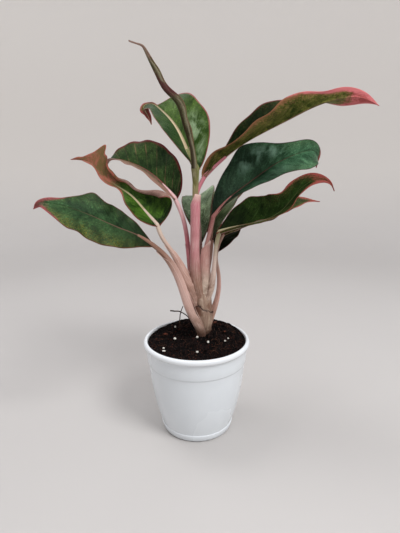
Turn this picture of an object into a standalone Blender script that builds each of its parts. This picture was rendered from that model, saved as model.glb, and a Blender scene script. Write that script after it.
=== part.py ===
"""A potted Chinese evergreen: a glossy plastic pot, its soil and one cane with twelve leaves.

The frame is +Z up with the origin on the ground under the middle of the pot, and -Y is the front.
Lengths in the tables below are millimetres; the meshes are made in metres.

A leaf grows as one piece, from the sheath at its foot along the stalk and the midrib to its tip, so
each leaf is one closed solid. Older leaves clasp the younger ones, so each is cut back from what it
clasps by CLEARANCE.
"""
import math

import bmesh
import bpy
import numpy as np

MM = 0.001
CLEARANCE = 0.3  # between pieces that touch

# Pot: a 12 cm plastic pot, by the radius of its rim, its height and its foot. The outlines are radius
# and height, up the outside and down the inside.
RIM_RADIUS = 60.5
POT_HEIGHT = 109.0
FOOT_RADIUS = 38.0
FLOOR_Z = 4.0
POT_SIDES = 64
POT_FOOT = ((FOOT_RADIUS, 0), (40.3, 1.2), (41.5, 4.0), (42.3, 8.0), (41.8, 8.6))
POT_WALL = ((44.6, 18.5), (48.2, 32), (50.9, 46), (52.9, 58.5), (54.4, 71), (55.5, 83.4))
POT_BAND = ((56.5, 84.4), (57.7, 101.6), (57.8, 102.4))
POT_BEAD = ((59.4, 102.8), (RIM_RADIUS, 104.8), (60.2, 107.2), (58.8, 108.6), (57.6, POT_HEIGHT),
            (56.5, 108.4))
POT_INSIDE = ((56.2, 104.0), (53.8, 83.0), (51.2, 58.5), (46.6, 32), (40.4, 9.0), (38.5, FLOOR_Z + 0.8),
              (36.5, FLOOR_Z), (30, FLOOR_Z), (11, FLOOR_Z), (0, FLOOR_Z))
UNDERSIDE_RECESS = 1.2
DRAIN_RING = 21.0
DRAIN_HOLES = 5
DRAIN_RADIUS = 2.4

# Soil: filled to just under the rim, heaped a little round the cane and towards the back.
SOIL_EDGE_Z = 106.5
SOIL_CROWN_Z = 116.5
CROWN_SPREAD = 24.0
BACK_HEAP = 8.5
BACK_HEAP_FROM, BACK_HEAP_DEPTH = -10.0, 45.0  # where it starts to rise, and how far on it is full
BACK_HEAP_MIDDLE, BACK_HEAP_REACH = 10.0, 48.0  # across
EDGE_SLOPE, EDGE_SHARE = 9.0, 0.55  # how the heap falls off at the pot's wall
SOIL_RADIUS = 55.8
SOIL_SIDES = 36

# Cane: route and radius from its buried end to its growing tip.
CANE = ((7, 5, 84), (8, 5, 108), (8, 4, 118), (7, 4, 132), (6, 4, 150), (6, 4, 166), (4, 3, 178), (1, 1, 188))
CANE_RADII = (3.0, 4.0, 7.5, 10.8, 11.2, 10.0, 7.5, 3.0)
CANE_SIDES = 16
CANE_STATIONS = 18

BLADE_THICKNESS = 0.9

# Each leaf: stalk and rib are its route, from its foot to the blade and on to the tip. stalk_radii are
# the half-widths (across, through) at the foot, in the middle and at the blade. faces are the ways that
# the upper side looks, evenly spaced along the blade. half_widths are of the left and right halves, seen
# from above with the tip ahead; belly is where the blade is widest; fold is the angle in degrees that
# each half rises from flat, evenly spaced too. swells are local changes of a margin: its side, their place
# and spread along the blade, and how much wider.
LEAVES = {
    "leaf_01_spear": dict(
        stalk=((0, 0, 196), (-1, 0, 225), (0, 0, 260), (0, 0, 280), (-1, -2, 298)),
        rib=((-1, -2, 298), (-2.5, -4, 316), (-10.5, -8, 342), (-18.5, -11, 362), (-29, -14, 372),
             (-34, -17, 380.5), (-41.2, -21, 395), (-45, -24.3, 403), (-46.8, -25.7, 406), (-52, -27, 408.2),
             (-59, -29, 410)),
        stalk_radii=((1.4, 1.4), (1.6, 1.6), (3.4, 3.4)),
        faces=((0.9, -0.4, 0.0), (0.9, -0.4, 0.2), (0.8, -0.5, 0.4), (0.6, -0.6, 0.5)),
        half_widths=(6.4, 6.4), belly=0.45, fold=((62, 62), (62, 62)), tail=(1.2, 1.2),
        swells=((0, 0.15, 0.12, -1.4), (1, 0.15, 0.12, -1.4), (0, 0.36, 0.06, -1.2), (1, 0.36, 0.06, -1.2)),
    ),
    "leaf_02_upper_left": dict(
        stalk=((0, 0, 182), (-1, 0, 215), (0, 0, 250), (0, 0, 280), (1, 3, 298)),
        rib=((1, 3, 298), (-6, 7, 311), (-17, 21, 335), (-29, 37, 352), (-41, 52, 364), (-53, 62, 370),
             (-59, 65, 368), (-55, 61, 357), (-51, 60, 347)),
        stalk_radii=((3.0, 3.0), (3.0, 3.0), (3.4, 3.2)),
        faces=((0.0, -0.9, 0.3), (-0.35, -0.8, 0.35), (-0.3, -0.8, 0.4), (-0.5, -0.6, 0.5)),
        half_widths=(18.5, 38), belly=0.4, fold=((50, 5), (50, 5), (36, 8), (0, 10)),
        tail=(1.9, 4.0), foot=(1.0, 0.6),
        swells=((1, 0.4, 0.07, -3), (1, 0.57, 0.06, 4), (1, 0.71, 0.06, -9), (1, 0.86, 0.04, 5),
                (0, 0.81, 0.07, 9), (0, 0.94, 0.05, 3), (1, 0.93, 0.04, 2.5)),
    ),
    "leaf_03_upper_right": dict(
        stalk=((1, 0, 170), (-1, 0, 195), (-1, 0, 225), (0, 0, 255), (2, 1, 274), (10, 2, 290)),
        rib=((10, 2, 290), (22, -1, 302), (36, -4, 314), (64, -12, 331), (91, -20, 344), (118, -28, 356),
             (137, -34, 360), (154, -38, 359), (167, -42, 352)),
        stalk_radii=((4.4, 4.4), (4.8, 4.8), (4.8, 4.8), (4.7, 4.6), (2.2, 2.2)),
        faces=((-0.4, 0.6, 0.7), (-0.45, 0.1, 0.85), (-0.45, -0.45, 0.75), (-0.4, -0.3, 0.85),
               (-0.35, -0.05, 0.9), (-0.25, 0.3, 0.85), (-0.1, 0.6, 0.75), (0.1, 0.85, 0.5),
               (0.2, 0.95, 0.3)),
        half_widths=(33, 23), belly=0.5, fold=((45, 45), (44, 44), (40, 40), (10, 10)), tail=(1.3, 1.1),
        foot=(2.3, 0.5), swells=((1, 0.72, 0.1, -6), (0, 0.42, 0.1, -3)),
    ),
    "leaf_04_right_broad": dict(
        stalk=((10, 3, 168), (10, 3, 190), (11, 4, 212), (15, 4, 230), (19, 5, 247)),
        rib=((19, 5, 247), (35, 10, 265), (54, 18, 279), (73, 26, 292), (91, 34, 303), (118, 46, 314),
             (136, 57, 317), (146, 70, 311), (149, 84, 298)),
        stalk_radii=((5.5, 5.5), (5.4, 5.0), (5.2, 4.5), (2.4, 2.4), (2.2, 2.2)),
        faces=((-0.4, -0.7, 0.6), (-0.2, -0.75, 0.55), (-0.1, -0.9, 0.35), (0.1, -1.0, 0.15),
               (0.8, -0.6, 0.1)),
        half_widths=(33, 24), belly=0.38, fold=((30, 30), (34, 34), (32, 32), (30, 30), (20, 20)),
        tail=(1.5, 0.6), foot=(0.9, 1.5),
        swells=((0, 0.38, 0.08, 4), (0, 0.6, 0.12, -9), (1, 0.3, 0.12, -5), (1, 0.68, 0.12, 6)),
    ),
    "leaf_05_lower_right": dict(
        stalk=((16, -3, 168), (20, -5, 199), (22, -8, 219), (25, -10, 233)),
        rib=((25, -10, 233), (46, -16, 240), (67, -24, 246), (82, -30, 254), (94, -34, 268), (106, -36, 282),
             (120, -38, 287), (129, -40, 283), (133, -40, 276)),
        stalk_radii=((3.0, 2.6), (2.2, 2.2), (2.4, 2.2)),
        faces=((-0.3, -0.5, 0.85), (-0.2, -0.5, 0.85), (-0.6, -0.5, 0.5), (-0.1, -0.85, 0.5)),
        half_widths=(24, 22), belly=0.38, fold=((36, 36), (36, 36), (10, 10)), tail=(1.5, 1.5),
        swells=((0, 0.14, 0.08, 4), (0, 0.28, 0.1, 5), (0, 0.6, 0.08, -5), (1, 0.57, 0.08, 5)),
    ),
    "leaf_06_under_right": dict(
        stalk=((16, 8, 164), (21, 10, 196), (25, 12, 215), (31, 14, 227)),
        rib=((31, 14, 227), (55, 14, 236), (77, 12, 245), (99, 11, 255), (119, 12, 262), (136, 14, 262)),
        stalk_radii=((2.6, 2.4), (2.0, 2.0), (2.0, 2.0)),
        faces=((-0.3, -0.3, 0.85), (-0.3, -0.45, 0.85), (0, -0.5, 0.8)),
        half_widths=(20, 22), belly=0.5, fold=((30, 30), (20, 20)), tail=(1.5, 1.5),
        swells=((1, 0.7, 0.12, -5),),
    ),
    "leaf_07_low_right": dict(
        stalk=((18, 10, 134), (23, 13, 148), (26, 15, 165), (25, 17, 184), (23, 18, 198), (24, 18, 207)),
        rib=((24, 18, 207), (29, 29, 216), (34, 46, 223), (37, 66, 225), (39, 86, 219)),
        stalk_radii=((3.4, 2.6), (2.4, 2.2), (1.8, 1.8)),
        faces=((-0.3, -0.9, 0.4), (-0.3, -0.7, 0.6), (0, -0.2, 1)),
        half_widths=(14, 21), belly=0.4, fold=((25, 10), (20, 10)), tail=(1.1, 1.1),
    ),
    "leaf_08_back_right": dict(
        stalk=((11, 10, 172), (17, 17, 205), (18, 18, 222)),
        rib=((18, 18, 222), (21, 25, 238), (28, 38, 251), (35, 56, 261), (42, 78, 265), (48, 100, 261),
             (52, 118, 252)),
        stalk_radii=((3.0, 2.4), (2.0, 2.0), (2.0, 2.0)),
        faces=((-0.5, -0.6, 0.6), (-0.4, -0.4, 0.8), (0, 0, 1), (0.3, 0.3, 0.9)),
        half_widths=(22, 26), belly=0.45, fold=((30, 30), (15, 15)), tail=(1.3, 1.3), foot=(0.75, 0.5),
        swells=((1, 0.22, 0.12, 13),),
    ),
    "leaf_09_back": dict(
        stalk=((4, 8, 174), (5, 14, 200), (5, 16, 217)),
        rib=((5, 16, 217), (5, 22, 236), (3, 34, 252), (3, 52, 262), (3, 74, 265), (2, 100, 260),
             (0, 124, 246), (-1, 138, 232)),
        stalk_radii=((3.0, 2.6), (2.2, 2.0), (2.0, 2.0)),
        faces=((-0.2, -0.9, 0.3), (-0.25, -0.6, 0.8), (-0.15, 0, 1), (0, 0.5, 0.8)),
        half_widths=(20, 23), belly=0.4, fold=((15, 28), (10, 15)), tail=(1.3, 1.3),
    ),
    "leaf_10_mid_left": dict(
        stalk=((-3, 7, 174), (-9, 10, 215), (-15, 12, 248), (-23, 14, 267)),
        rib=((-23, 14, 267), (-36, 22, 281), (-56, 36, 296), (-77, 50, 305), (-95, 64, 309), (-106, 78, 307),
             (-113, 92, 300)),
        stalk_radii=((3.2, 2.8), (2.5, 2.3), (2.4, 2.2)),
        faces=((0.3, -0.7, 0.6), (0.2, -0.65, 0.75), (0, -0.6, 0.8), (-0.3, -0.4, 0.85)),
        half_widths=(24, 34), belly=0.36, fold=((38, 38), (36, 36), (25, 25)), tail=(1.2, 1.6),
        foot=(0.5, 0.5),
        swells=((1, 0.62, 0.06, 2),),
    ),
    "leaf_11_left_arching": dict(
        stalk=((-2, -2, 160), (-14, -6, 190), (-26, -7, 212), (-36.5, -6, 228), (-41, -4, 240)),
        rib=((-41, -4, 240), (-57, 8, 256), (-73, 22, 270), (-91, 34, 280), (-108, 44, 293), (-120, 52, 303),
             (-134, 60, 308), (-150, 68, 309)),
        stalk_radii=((5.4, 3.6), (5.4, 3.2), (2.8, 2.4), (2.2, 2.2)),
        faces=((0.3, -0.8, 0.5), (0.3, -0.8, 0.5), (0.3, -0.8, 0.5), (0.2, -0.8, 0.5)),
        half_widths=(16.5, 29), belly=0.15, fold=((15, 15), (15, 20), (15, 20)), tail=(1.4, 2.2),
        foot=(0.6, 0.6),
        swells=((0, 0.43, 0.12, -9), (1, 0.32, 0.1, -11), (1, 0.46, 0.1, -11), (1, 0.785, 0.035, 11)),
    ),
    "leaf_12_lower_left": dict(
        stalk=((4, -6, 122), (-5, -10, 143), (-13, -13, 169), (-23, -16, 195), (-34, -20, 212),
               (-44, -24, 222)),
        rib=((-44, -24, 222), (-57, -32, 233), (-73, -42, 242), (-93, -54, 254), (-113, -64, 264),
             (-129, -72, 269), (-137, -75, 269), (-141, -76, 264)),
        stalk_radii=((5.6, 4.0), (5.4, 3.6), (4.4, 3.0), (2.4, 2.2)),
        faces=((0.1, -0.75, 0.7), (0.1, -0.8, 0.6), (0.2, -0.7, 0.75)),
        half_widths=(25, 21), belly=0.48, fold=((5, 5), (5, 5)), tail=(0.85, 1.1), foot=(0.75, 1.1),
        swells=((1, 0.48, 0.05, -3), (1, 0.6, 0.05, 3), (1, 0.78, 0.09, -4), (0, 0.76, 0.08, 4)),
    ),
}

# The stalks that lie inside the sheaths of older leaves.
CLASPED = {
    "leaf_01_spear": ("leaf_02_upper_left",),
    "leaf_02_upper_left": ("leaf_03_upper_right",),
    "leaf_03_upper_right": ("leaf_04_right_broad", "leaf_11_left_arching"),
    "leaf_05_lower_right": ("leaf_04_right_broad",),
    "leaf_08_back_right": ("leaf_04_right_broad",),
    "leaf_09_back": ("leaf_04_right_broad",),
}

# Perlite grains on the soil: place x, y, then length, width and height.
PERLITE = (
    (-25, -4, 4.2, 3.8, 3.4), (1, -10, 4.0, 2.8, 2.6), (13, -17, 5.8, 3.0, 2.6), (1, -35, 4.4, 3.0, 2.6),
    (-35, -31, 4.6, 2.6, 2.2), (-36, -24, 4.0, 2.4, 2.0), (-26, 23, 4.4, 2.4, 2.2), (36, -4, 3.6, 2.2, 2.0),
    (32, -12, 3.2, 2.0, 1.8),
)
# Bark chips: place x, y, then length, width, height and turn.
BARK_CHIPS = ((33, 12, 7.0, 2.6, 3.4, 1.3), (-37, 11, 8.0, 3.0, 2.2, 0.4), (22, 30, 7.0, 3.0, 2.4, 2.2))
# Dry roots that stick out of the soil: the route of each.
TWIGS = (
    ((-21, 22, 108), (-20.5, 21, 116), (-20, 20, 124), (-18.6, 19, 133), (-16, 19, 140)),
    ((-31, 18, 135), (-25, 17.6, 134.5), (-18.6, 17.4, 133.5), (-11, 15, 129), (-6, 12.5, 123)),
)
TWIG_RADIUS = 0.8
TWIG_STATIONS = 10

STALK_STATIONS = 8
BLADE_STATIONS = 18


def spline(points, count):
    """count points evenly spaced along a smooth curve through the given ones."""
    points = np.array(points, float)
    steps = np.linalg.norm(np.diff(points, axis=0), axis=1)
    knots = np.concatenate([[0.0], np.cumsum(steps)])
    size = len(points)
    matrix = np.eye(size)
    rate = np.zeros_like(points)
    for i in range(1, size - 1):
        before, after = steps[i - 1], steps[i]
        matrix[i, i - 1:i + 2] = before, 2 * (before + after), after
        rate[i] = 6 * ((points[i + 1] - points[i]) / after - (points[i] - points[i - 1]) / before)
    bend = np.linalg.solve(matrix, rate)

    def at(places):
        i = np.clip(np.searchsorted(knots, places) - 1, 0, size - 2)
        step = steps[i][:, None]
        a = ((knots[i + 1] - places) / steps[i])[:, None]
        b = 1 - a
        return (a * points[i] + b * points[i + 1]
                + ((a ** 3 - a) * bend[i] + (b ** 3 - b) * bend[i + 1]) * step ** 2 / 6)

    fine = at(np.linspace(0, knots[-1], 400))
    run = np.concatenate([[0.0], np.cumsum(np.linalg.norm(np.diff(fine, axis=0), axis=1))])
    places = np.interp(np.linspace(0, run[-1], count), run, np.linspace(0, knots[-1], 400))
    return at(places)


def unit(vectors):
    return vectors / np.linalg.norm(vectors, axis=-1, keepdims=True)


def stations(values, places):
    """The values, given at even spacing from 0 to 1, at the given places."""
    values = np.array(values, float)
    even = np.linspace(0, 1, len(values))
    return np.stack([np.interp(places, even, column) for column in values.T], 1)


def blade_outline(places, belly, tail, foot):
    """Half-width of a blade from its foot to its tip, as a share of the widest."""
    low = np.sin(math.pi / 2 * np.clip(places / belly, 0, 1)) ** foot
    high = np.cos(math.pi / 2 * np.clip((places - belly) / (1 - belly), 0, 1)) ** tail
    return np.where(places < belly, low, high)


def leaf_rings(stalk, rib, stalk_radii, faces, half_widths, belly, fold, tail, foot=(0.75, 0.75), swells=()):
    """Closed cross-sections of a leaf, from its foot to just before its tip, and the tip."""
    stalk_line = spline(stalk, STALK_STATIONS)
    rib_line = spline(rib, BLADE_STATIONS)
    line = np.concatenate([stalk_line[:-1], rib_line])
    along = np.concatenate([np.zeros(STALK_STATIONS - 1), np.linspace(0, 1, BLADE_STATIONS)])
    down = np.concatenate([np.linspace(0, 1, STALK_STATIONS)[:-1], np.ones(BLADE_STATIONS)])
    forward = unit(np.gradient(line, axis=0))
    up = stations(faces, along)
    up = unit(up - forward * (up * forward).sum(1, keepdims=True))
    right = np.cross(forward, up)

    radii = stations(stalk_radii, down)
    blend = np.clip(along * 12, 0, 1)[:, None]
    keel = radii[:, 1] * (1 - 0.8 * along)
    angles = np.radians(stations(fold, along))
    shares_round = np.sin(np.linspace(0, math.pi / 2, 5))
    rings = []
    for side in (0, 1):
        outline = blade_outline(along, belly, tail[side], foot[side])
        width = outline * half_widths[side]
        for swell_side, place, spread, wider in swells:
            if swell_side == side:
                width = width + wider * np.exp(-((along - place) / spread) ** 2)
        width = np.maximum(radii[:, 0], width)
        keel_width = np.minimum(keel, width * 0.5)
        flat = np.stack([0 * width, keel_width, width * 0.36, width * 0.7, width], 1)
        flat = np.maximum.accumulate(flat, axis=1)
        reach = (1 - blend) * radii[:, :1] * shares_round + blend * flat
        round_half = np.sqrt(np.clip(1 - (reach / radii[:, :1]) ** 2, 0, 1)) * radii[:, 1:]
        thin = BLADE_THICKNESS / 2 * (1 - (reach / width[:, None]) ** 4)
        keel_share = reach / np.maximum(keel_width, 1e-6)[:, None]
        ridge = np.sqrt(np.clip(1 - keel_share ** 2, 0, 1)) * keel[:, None]
        upper = (1 - blend) * round_half + blend * thin
        lower = (1 - blend) * round_half + blend * np.maximum(thin, ridge)
        angle = angles[:, side][:, None] * blend
        sign = -1 if side == 0 else 1
        aside = (reach * np.cos(angle))[..., None] * right[:, None] * sign
        middle = aside + (reach * np.sin(angle))[..., None] * up[:, None]
        rings.append((middle + upper[..., None] * up[:, None], middle - lower[..., None] * up[:, None]))
    (left_top, left_low), (right_top, right_low) = rings
    ring = np.concatenate([left_top[:, :0:-1], right_top, right_low[:, 3:0:-1], left_low[:, :4]], axis=1)
    return line[:-1, None] + ring[:-1], line[-1]


def add_object(name, verts, faces, material, smooth=True):
    mesh = bpy.data.meshes.new(name)
    mesh.from_pydata([tuple(v) for v in np.asarray(verts) * MM], [], faces)
    mesh.validate()
    mesh.update()
    if smooth:
        mesh.shade_smooth()
        mesh.set_sharp_from_angle(angle=math.radians(40))
    mesh.materials.append(material)
    item = bpy.data.objects.new(name, mesh)
    bpy.context.scene.collection.objects.link(item)
    return item


def loft(rings, end=None):
    """Verts and faces of a closed skin over equal rings, flat at the first and at the last or its end point.

    The two sides of a ring are split along matching diagonals, so that a thin twisted blade stays closed.
    """
    count, sides, _ = rings.shape
    verts = list(rings.reshape(-1, 3))
    faces = [tuple(range(sides))[::-1]]
    for k in range(count - 1):
        for i in range(sides):
            a, b = k * sides + i, k * sides + (i + 1) % sides
            c, d = b + sides, a + sides
            faces += [(a, b, c), (a, c, d)] if i < sides // 2 else [(a, b, d), (b, c, d)]
    last = (count - 1) * sides
    if end is None:
        faces.append(tuple(range(last, last + sides)))
    else:
        verts.append(end)
        faces += [(last + i, last + (i + 1) % sides, len(verts) - 1) for i in range(sides)]
    return verts, faces


def material(name, colour, roughness, metallic=0.0):
    made = bpy.data.materials.new(name)
    made.use_nodes = True
    shader = made.node_tree.nodes["Principled BSDF"]
    shader.inputs["Base Color"].default_value = (*colour, 1)
    shader.inputs["Roughness"].default_value = roughness
    shader.inputs["Metallic"].default_value = metallic
    return made


def turned(name, profile, sides, made_of):
    """A solid of revolution from its (radius, height) outline, which runs from axis to axis."""
    verts, faces, rows = [], [], []
    turns = np.arange(sides) * 2 * math.pi / sides
    for radius, height in profile:
        start = len(verts)
        if radius == 0:
            verts.append((0, 0, height))
            rows.append([start] * sides)
        else:
            verts += [(radius * math.cos(t), radius * math.sin(t), height) for t in turns]
            rows.append(list(range(start, start + sides)))
    for low, high in zip(rows, rows[1:]):
        for i in range(sides):
            j = (i + 1) % sides
            corners = (low[i], low[j], high[j], high[i])
            faces.append(tuple(dict.fromkeys(corners)))
    return add_object(name, verts, faces, made_of)


def build_pot():
    """The wall and rim are one moulding, with a recess and drain holes underneath."""
    underside = (
        (0, 0), (DRAIN_RING - 8, 0), (DRAIN_RING - 7, UNDERSIDE_RECESS), (DRAIN_RING + 7, UNDERSIDE_RECESS),
        (DRAIN_RING + 8, 0),
    )
    profile = underside + POT_FOOT + POT_WALL + POT_BAND + POT_BEAD + POT_INSIDE
    pot = turned("pot", profile, POT_SIDES, POT_MATERIAL)
    for k in range(DRAIN_HOLES):
        turn = 2 * math.pi * (k + 0.13) / DRAIN_HOLES
        drill = [(0, -1), (DRAIN_RADIUS, -1), (DRAIN_RADIUS, 9), (0, 9)]
        hole = turned(f"drain_cutter_{k}", drill, 12, POT_MATERIAL)
        hole.location = (DRAIN_RING * MM * math.cos(turn), DRAIN_RING * MM * math.sin(turn), 0)
        cut(pot, hole)


def soil_height(x, y):
    """Height of the soil: heaped towards the cane and the back, with low lumps."""
    away = np.hypot(x - CANE[1][0], y - CANE[1][1])
    heap = (SOIL_CROWN_Z - SOIL_EDGE_Z) * np.exp(-(away / CROWN_SPREAD) ** 2)
    edge = np.clip((SOIL_RADIUS - np.hypot(x, y)) / EDGE_SLOPE, EDGE_SHARE, 1)
    backward = np.clip((y - BACK_HEAP_FROM) / BACK_HEAP_DEPTH, 0, 1)
    bank = np.exp(-((x - BACK_HEAP_MIDDLE) / BACK_HEAP_REACH) ** 4) * backward ** 2 * (3 - 2 * backward)
    heap = np.maximum(heap, BACK_HEAP * bank * edge)
    lumps = 0.7 * np.sin(0.21 * x + 1) * np.cos(0.19 * y + 2) + 0.4 * np.sin(0.47 * x - 0.33 * y)
    rim = np.clip((SOIL_RADIUS - np.hypot(x, y)) / 6, 0, 1)
    return SOIL_EDGE_Z + heap + lumps * rim


def build_soil(name="soil", raised=0.0):
    """The soil fills the pot. raised lifts its top, for cutting what lies on it."""
    verts, faces = [(0, 0, soil_height(0, 0) + raised)], []
    turns = np.arange(SOIL_SIDES) * 2 * math.pi / SOIL_SIDES
    below = [(r - CLEARANCE, max(z, FLOOR_Z + CLEARANCE)) for r, z in POT_INSIDE[:7]]
    rows = [(r, None) for r in (9, 19, 29, 39, 48, SOIL_RADIUS)] + below
    for radius, height in rows:
        for t in turns:
            x, y = radius * math.cos(t), radius * math.sin(t)
            verts.append((x, y, soil_height(x, y) + raised if height is None else height))
    for i in range(SOIL_SIDES):
        j = (i + 1) % SOIL_SIDES
        faces.append((0, 1 + i, 1 + j))
        for k in range(len(rows) - 1):
            a, b = 1 + k * SOIL_SIDES, 1 + (k + 1) * SOIL_SIDES
            faces.append((a + i, b + i, b + j, a + j))
    last = 1 + (len(rows) - 1) * SOIL_SIDES
    faces.append(tuple(last + i for i in range(SOIL_SIDES))[::-1])
    return add_object(name, verts, faces, SOIL_MATERIAL)


def build_cane(name="cane", grow=0.0):
    line = spline(CANE, CANE_STATIONS)
    radii = stations([[r] for r in CANE_RADII], np.linspace(0, 1, CANE_STATIONS))[:, 0] + grow
    turns = np.arange(CANE_SIDES) * 2 * math.pi / CANE_SIDES
    circle = np.stack([np.cos(turns), np.sin(turns), 0 * turns], 1)
    rings = line[:, None] + radii[:, None, None] * circle
    rings[0, :, 2] -= grow
    rings[-1, :, 2] += grow
    verts, faces = loft(rings)
    return add_object(name, verts, faces, CANE_MATERIAL)


def build_leaf(name):
    rings, tip = leaf_rings(**LEAVES[name])
    verts, faces = loft(rings, tip)
    return add_object(name, verts, faces, LEAF_MATERIAL)


def build_stalk_cutter(name):
    """The leaf's stalk, larger by CLEARANCE and longer at its foot, for cutting what clasps it."""
    leaf = dict(LEAVES[name])
    rings, _ = leaf_rings(**leaf)
    rings = rings[:STALK_STATIONS + 1].copy()
    middles = rings.mean(1, keepdims=True)
    away = rings - middles
    rings += away / np.linalg.norm(away, axis=2, keepdims=True) * CLEARANCE
    rings[0] += unit(middles[0] - middles[1]) * 1.5
    verts, faces = loft(rings)
    return add_object(name + "_cutter", verts, faces, LEAF_MATERIAL)


def build_crumb(name, place, size, made_of, seed, turn=0.0):
    """A rough granule on the soil: size is its length, width and height."""
    rng = np.random.default_rng(seed)
    mesh = bmesh.new()
    bmesh.ops.create_icosphere(mesh, subdivisions=1, radius=1)
    points = np.array([v.co[:] for v in mesh.verts]) * rng.uniform(0.8, 1.1, (len(mesh.verts), 1))
    faces = [tuple(v.index for v in f.verts) for f in mesh.faces]
    mesh.free()
    points = points * np.array(size) / 2
    cos, sin = math.cos(turn), math.sin(turn)
    points = points @ np.array([[cos, sin, 0], [-sin, cos, 0], [0, 0, 1]])
    x, y = place
    points = points + (x, y, soil_height(x, y) + size[2] * 0.2)
    return add_object(name, points, faces, made_of)


def build_twig(name, route, radius):
    line = spline(route, TWIG_STATIONS)
    forward = unit(np.gradient(line, axis=0))
    side = unit(np.cross(forward, (0.3, 1, 0.2)))
    other = np.cross(forward, side)
    turns = np.arange(6) * math.pi / 3
    circle = np.cos(turns)[:, None, None] * side + np.sin(turns)[:, None, None] * other
    thin = radius * np.linspace(1, 0.6, TWIG_STATIONS)
    verts, faces = loft(line[:, None] + np.swapaxes(circle, 0, 1) * thin[:, None, None])
    return add_object(name, verts, faces, TWIG_MATERIAL)


def cut(item, cutter):
    """item loses what cutter fills."""
    cutter.hide_render = True
    cutter.display_type = "WIRE"
    boolean = item.modifiers.new(cutter.name, "BOOLEAN")
    boolean.operation = "DIFFERENCE"
    boolean.solver = "EXACT"
    boolean.object = cutter


for item in list(bpy.data.objects):
    bpy.data.objects.remove(item)

POT_MATERIAL = material("pot_plastic", (0.80, 0.83, 0.86), 0.22)
SOIL_MATERIAL = material("soil", (0.02, 0.013, 0.01), 0.95)
CANE_MATERIAL = material("cane_bark", (0.55, 0.40, 0.28), 0.55)
LEAF_MATERIAL = material("leaf_green", (0.06, 0.14, 0.05), 0.35)
PERLITE_MATERIAL = material("perlite", (0.75, 0.74, 0.70), 0.8)
BARK_MATERIAL = material("bark_chip", (0.12, 0.05, 0.03), 0.85)
TWIG_MATERIAL = material("dry_root", (0.10, 0.07, 0.05), 0.8)

build_pot()
soil = build_soil()
cane = build_cane()
cane_cutter = build_cane("cane_cutter", CLEARANCE)
cut(soil, cane_cutter)

leaves = {name: build_leaf(name) for name in LEAVES}
for leaf in leaves.values():
    cut(leaf, cane_cutter)
for inner, clasping in CLASPED.items():
    stalk_cutter = build_stalk_cutter(inner)
    for name in clasping:
        cut(leaves[name], stalk_cutter)

ground_cutter = build_soil("ground_cutter", CLEARANCE)
for k, (x, y, length, width, height) in enumerate(PERLITE):
    size = (length, width, height)
    crumb = build_crumb(f"perlite_{k + 1:02d}", (x, y), size, PERLITE_MATERIAL, 10 + k, 0.8 * k)
    cut(crumb, ground_cutter)
for k, (x, y, length, width, height, turn) in enumerate(BARK_CHIPS):
    chip = build_crumb(f"bark_chip_{k + 1}", (x, y), (length, width, height), BARK_MATERIAL, 40 + k, turn)
    cut(chip, ground_cutter)
for k, route in enumerate(TWIGS):
    twig = build_twig(f"dry_root_{k + 1}", route, TWIG_RADIUS)
    cut(twig, ground_cutter)
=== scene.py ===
"""The visual model of a potted Chinese evergreen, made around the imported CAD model.

Each leaf, its stalk and its sheath are fine meshes on the routes that the CAD leaves follow. The pot, the
soil, the cane, the perlite, the bark and the dry roots are fine versions of their CAD nodes.
Lengths in the tables are millimetres in the CAD's frame: +Z is up and -Y is the front.
"""
import math

import bmesh
import bpy
import numpy as np
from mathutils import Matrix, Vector, noise


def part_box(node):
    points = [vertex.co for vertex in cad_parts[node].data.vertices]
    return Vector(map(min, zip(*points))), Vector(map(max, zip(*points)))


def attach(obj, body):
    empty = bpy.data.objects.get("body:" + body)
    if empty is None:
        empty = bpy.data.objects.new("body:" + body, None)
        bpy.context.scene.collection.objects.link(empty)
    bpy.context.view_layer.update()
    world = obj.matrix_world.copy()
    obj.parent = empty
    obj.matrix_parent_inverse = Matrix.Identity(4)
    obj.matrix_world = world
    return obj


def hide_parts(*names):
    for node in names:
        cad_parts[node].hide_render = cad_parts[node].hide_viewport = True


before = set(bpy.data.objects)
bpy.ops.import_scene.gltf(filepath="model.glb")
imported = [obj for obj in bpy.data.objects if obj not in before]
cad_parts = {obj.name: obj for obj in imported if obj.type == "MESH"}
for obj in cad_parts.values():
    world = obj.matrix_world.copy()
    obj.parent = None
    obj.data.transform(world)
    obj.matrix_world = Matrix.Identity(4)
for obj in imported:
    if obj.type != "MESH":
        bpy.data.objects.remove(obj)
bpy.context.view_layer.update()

MM = 0.001

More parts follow.
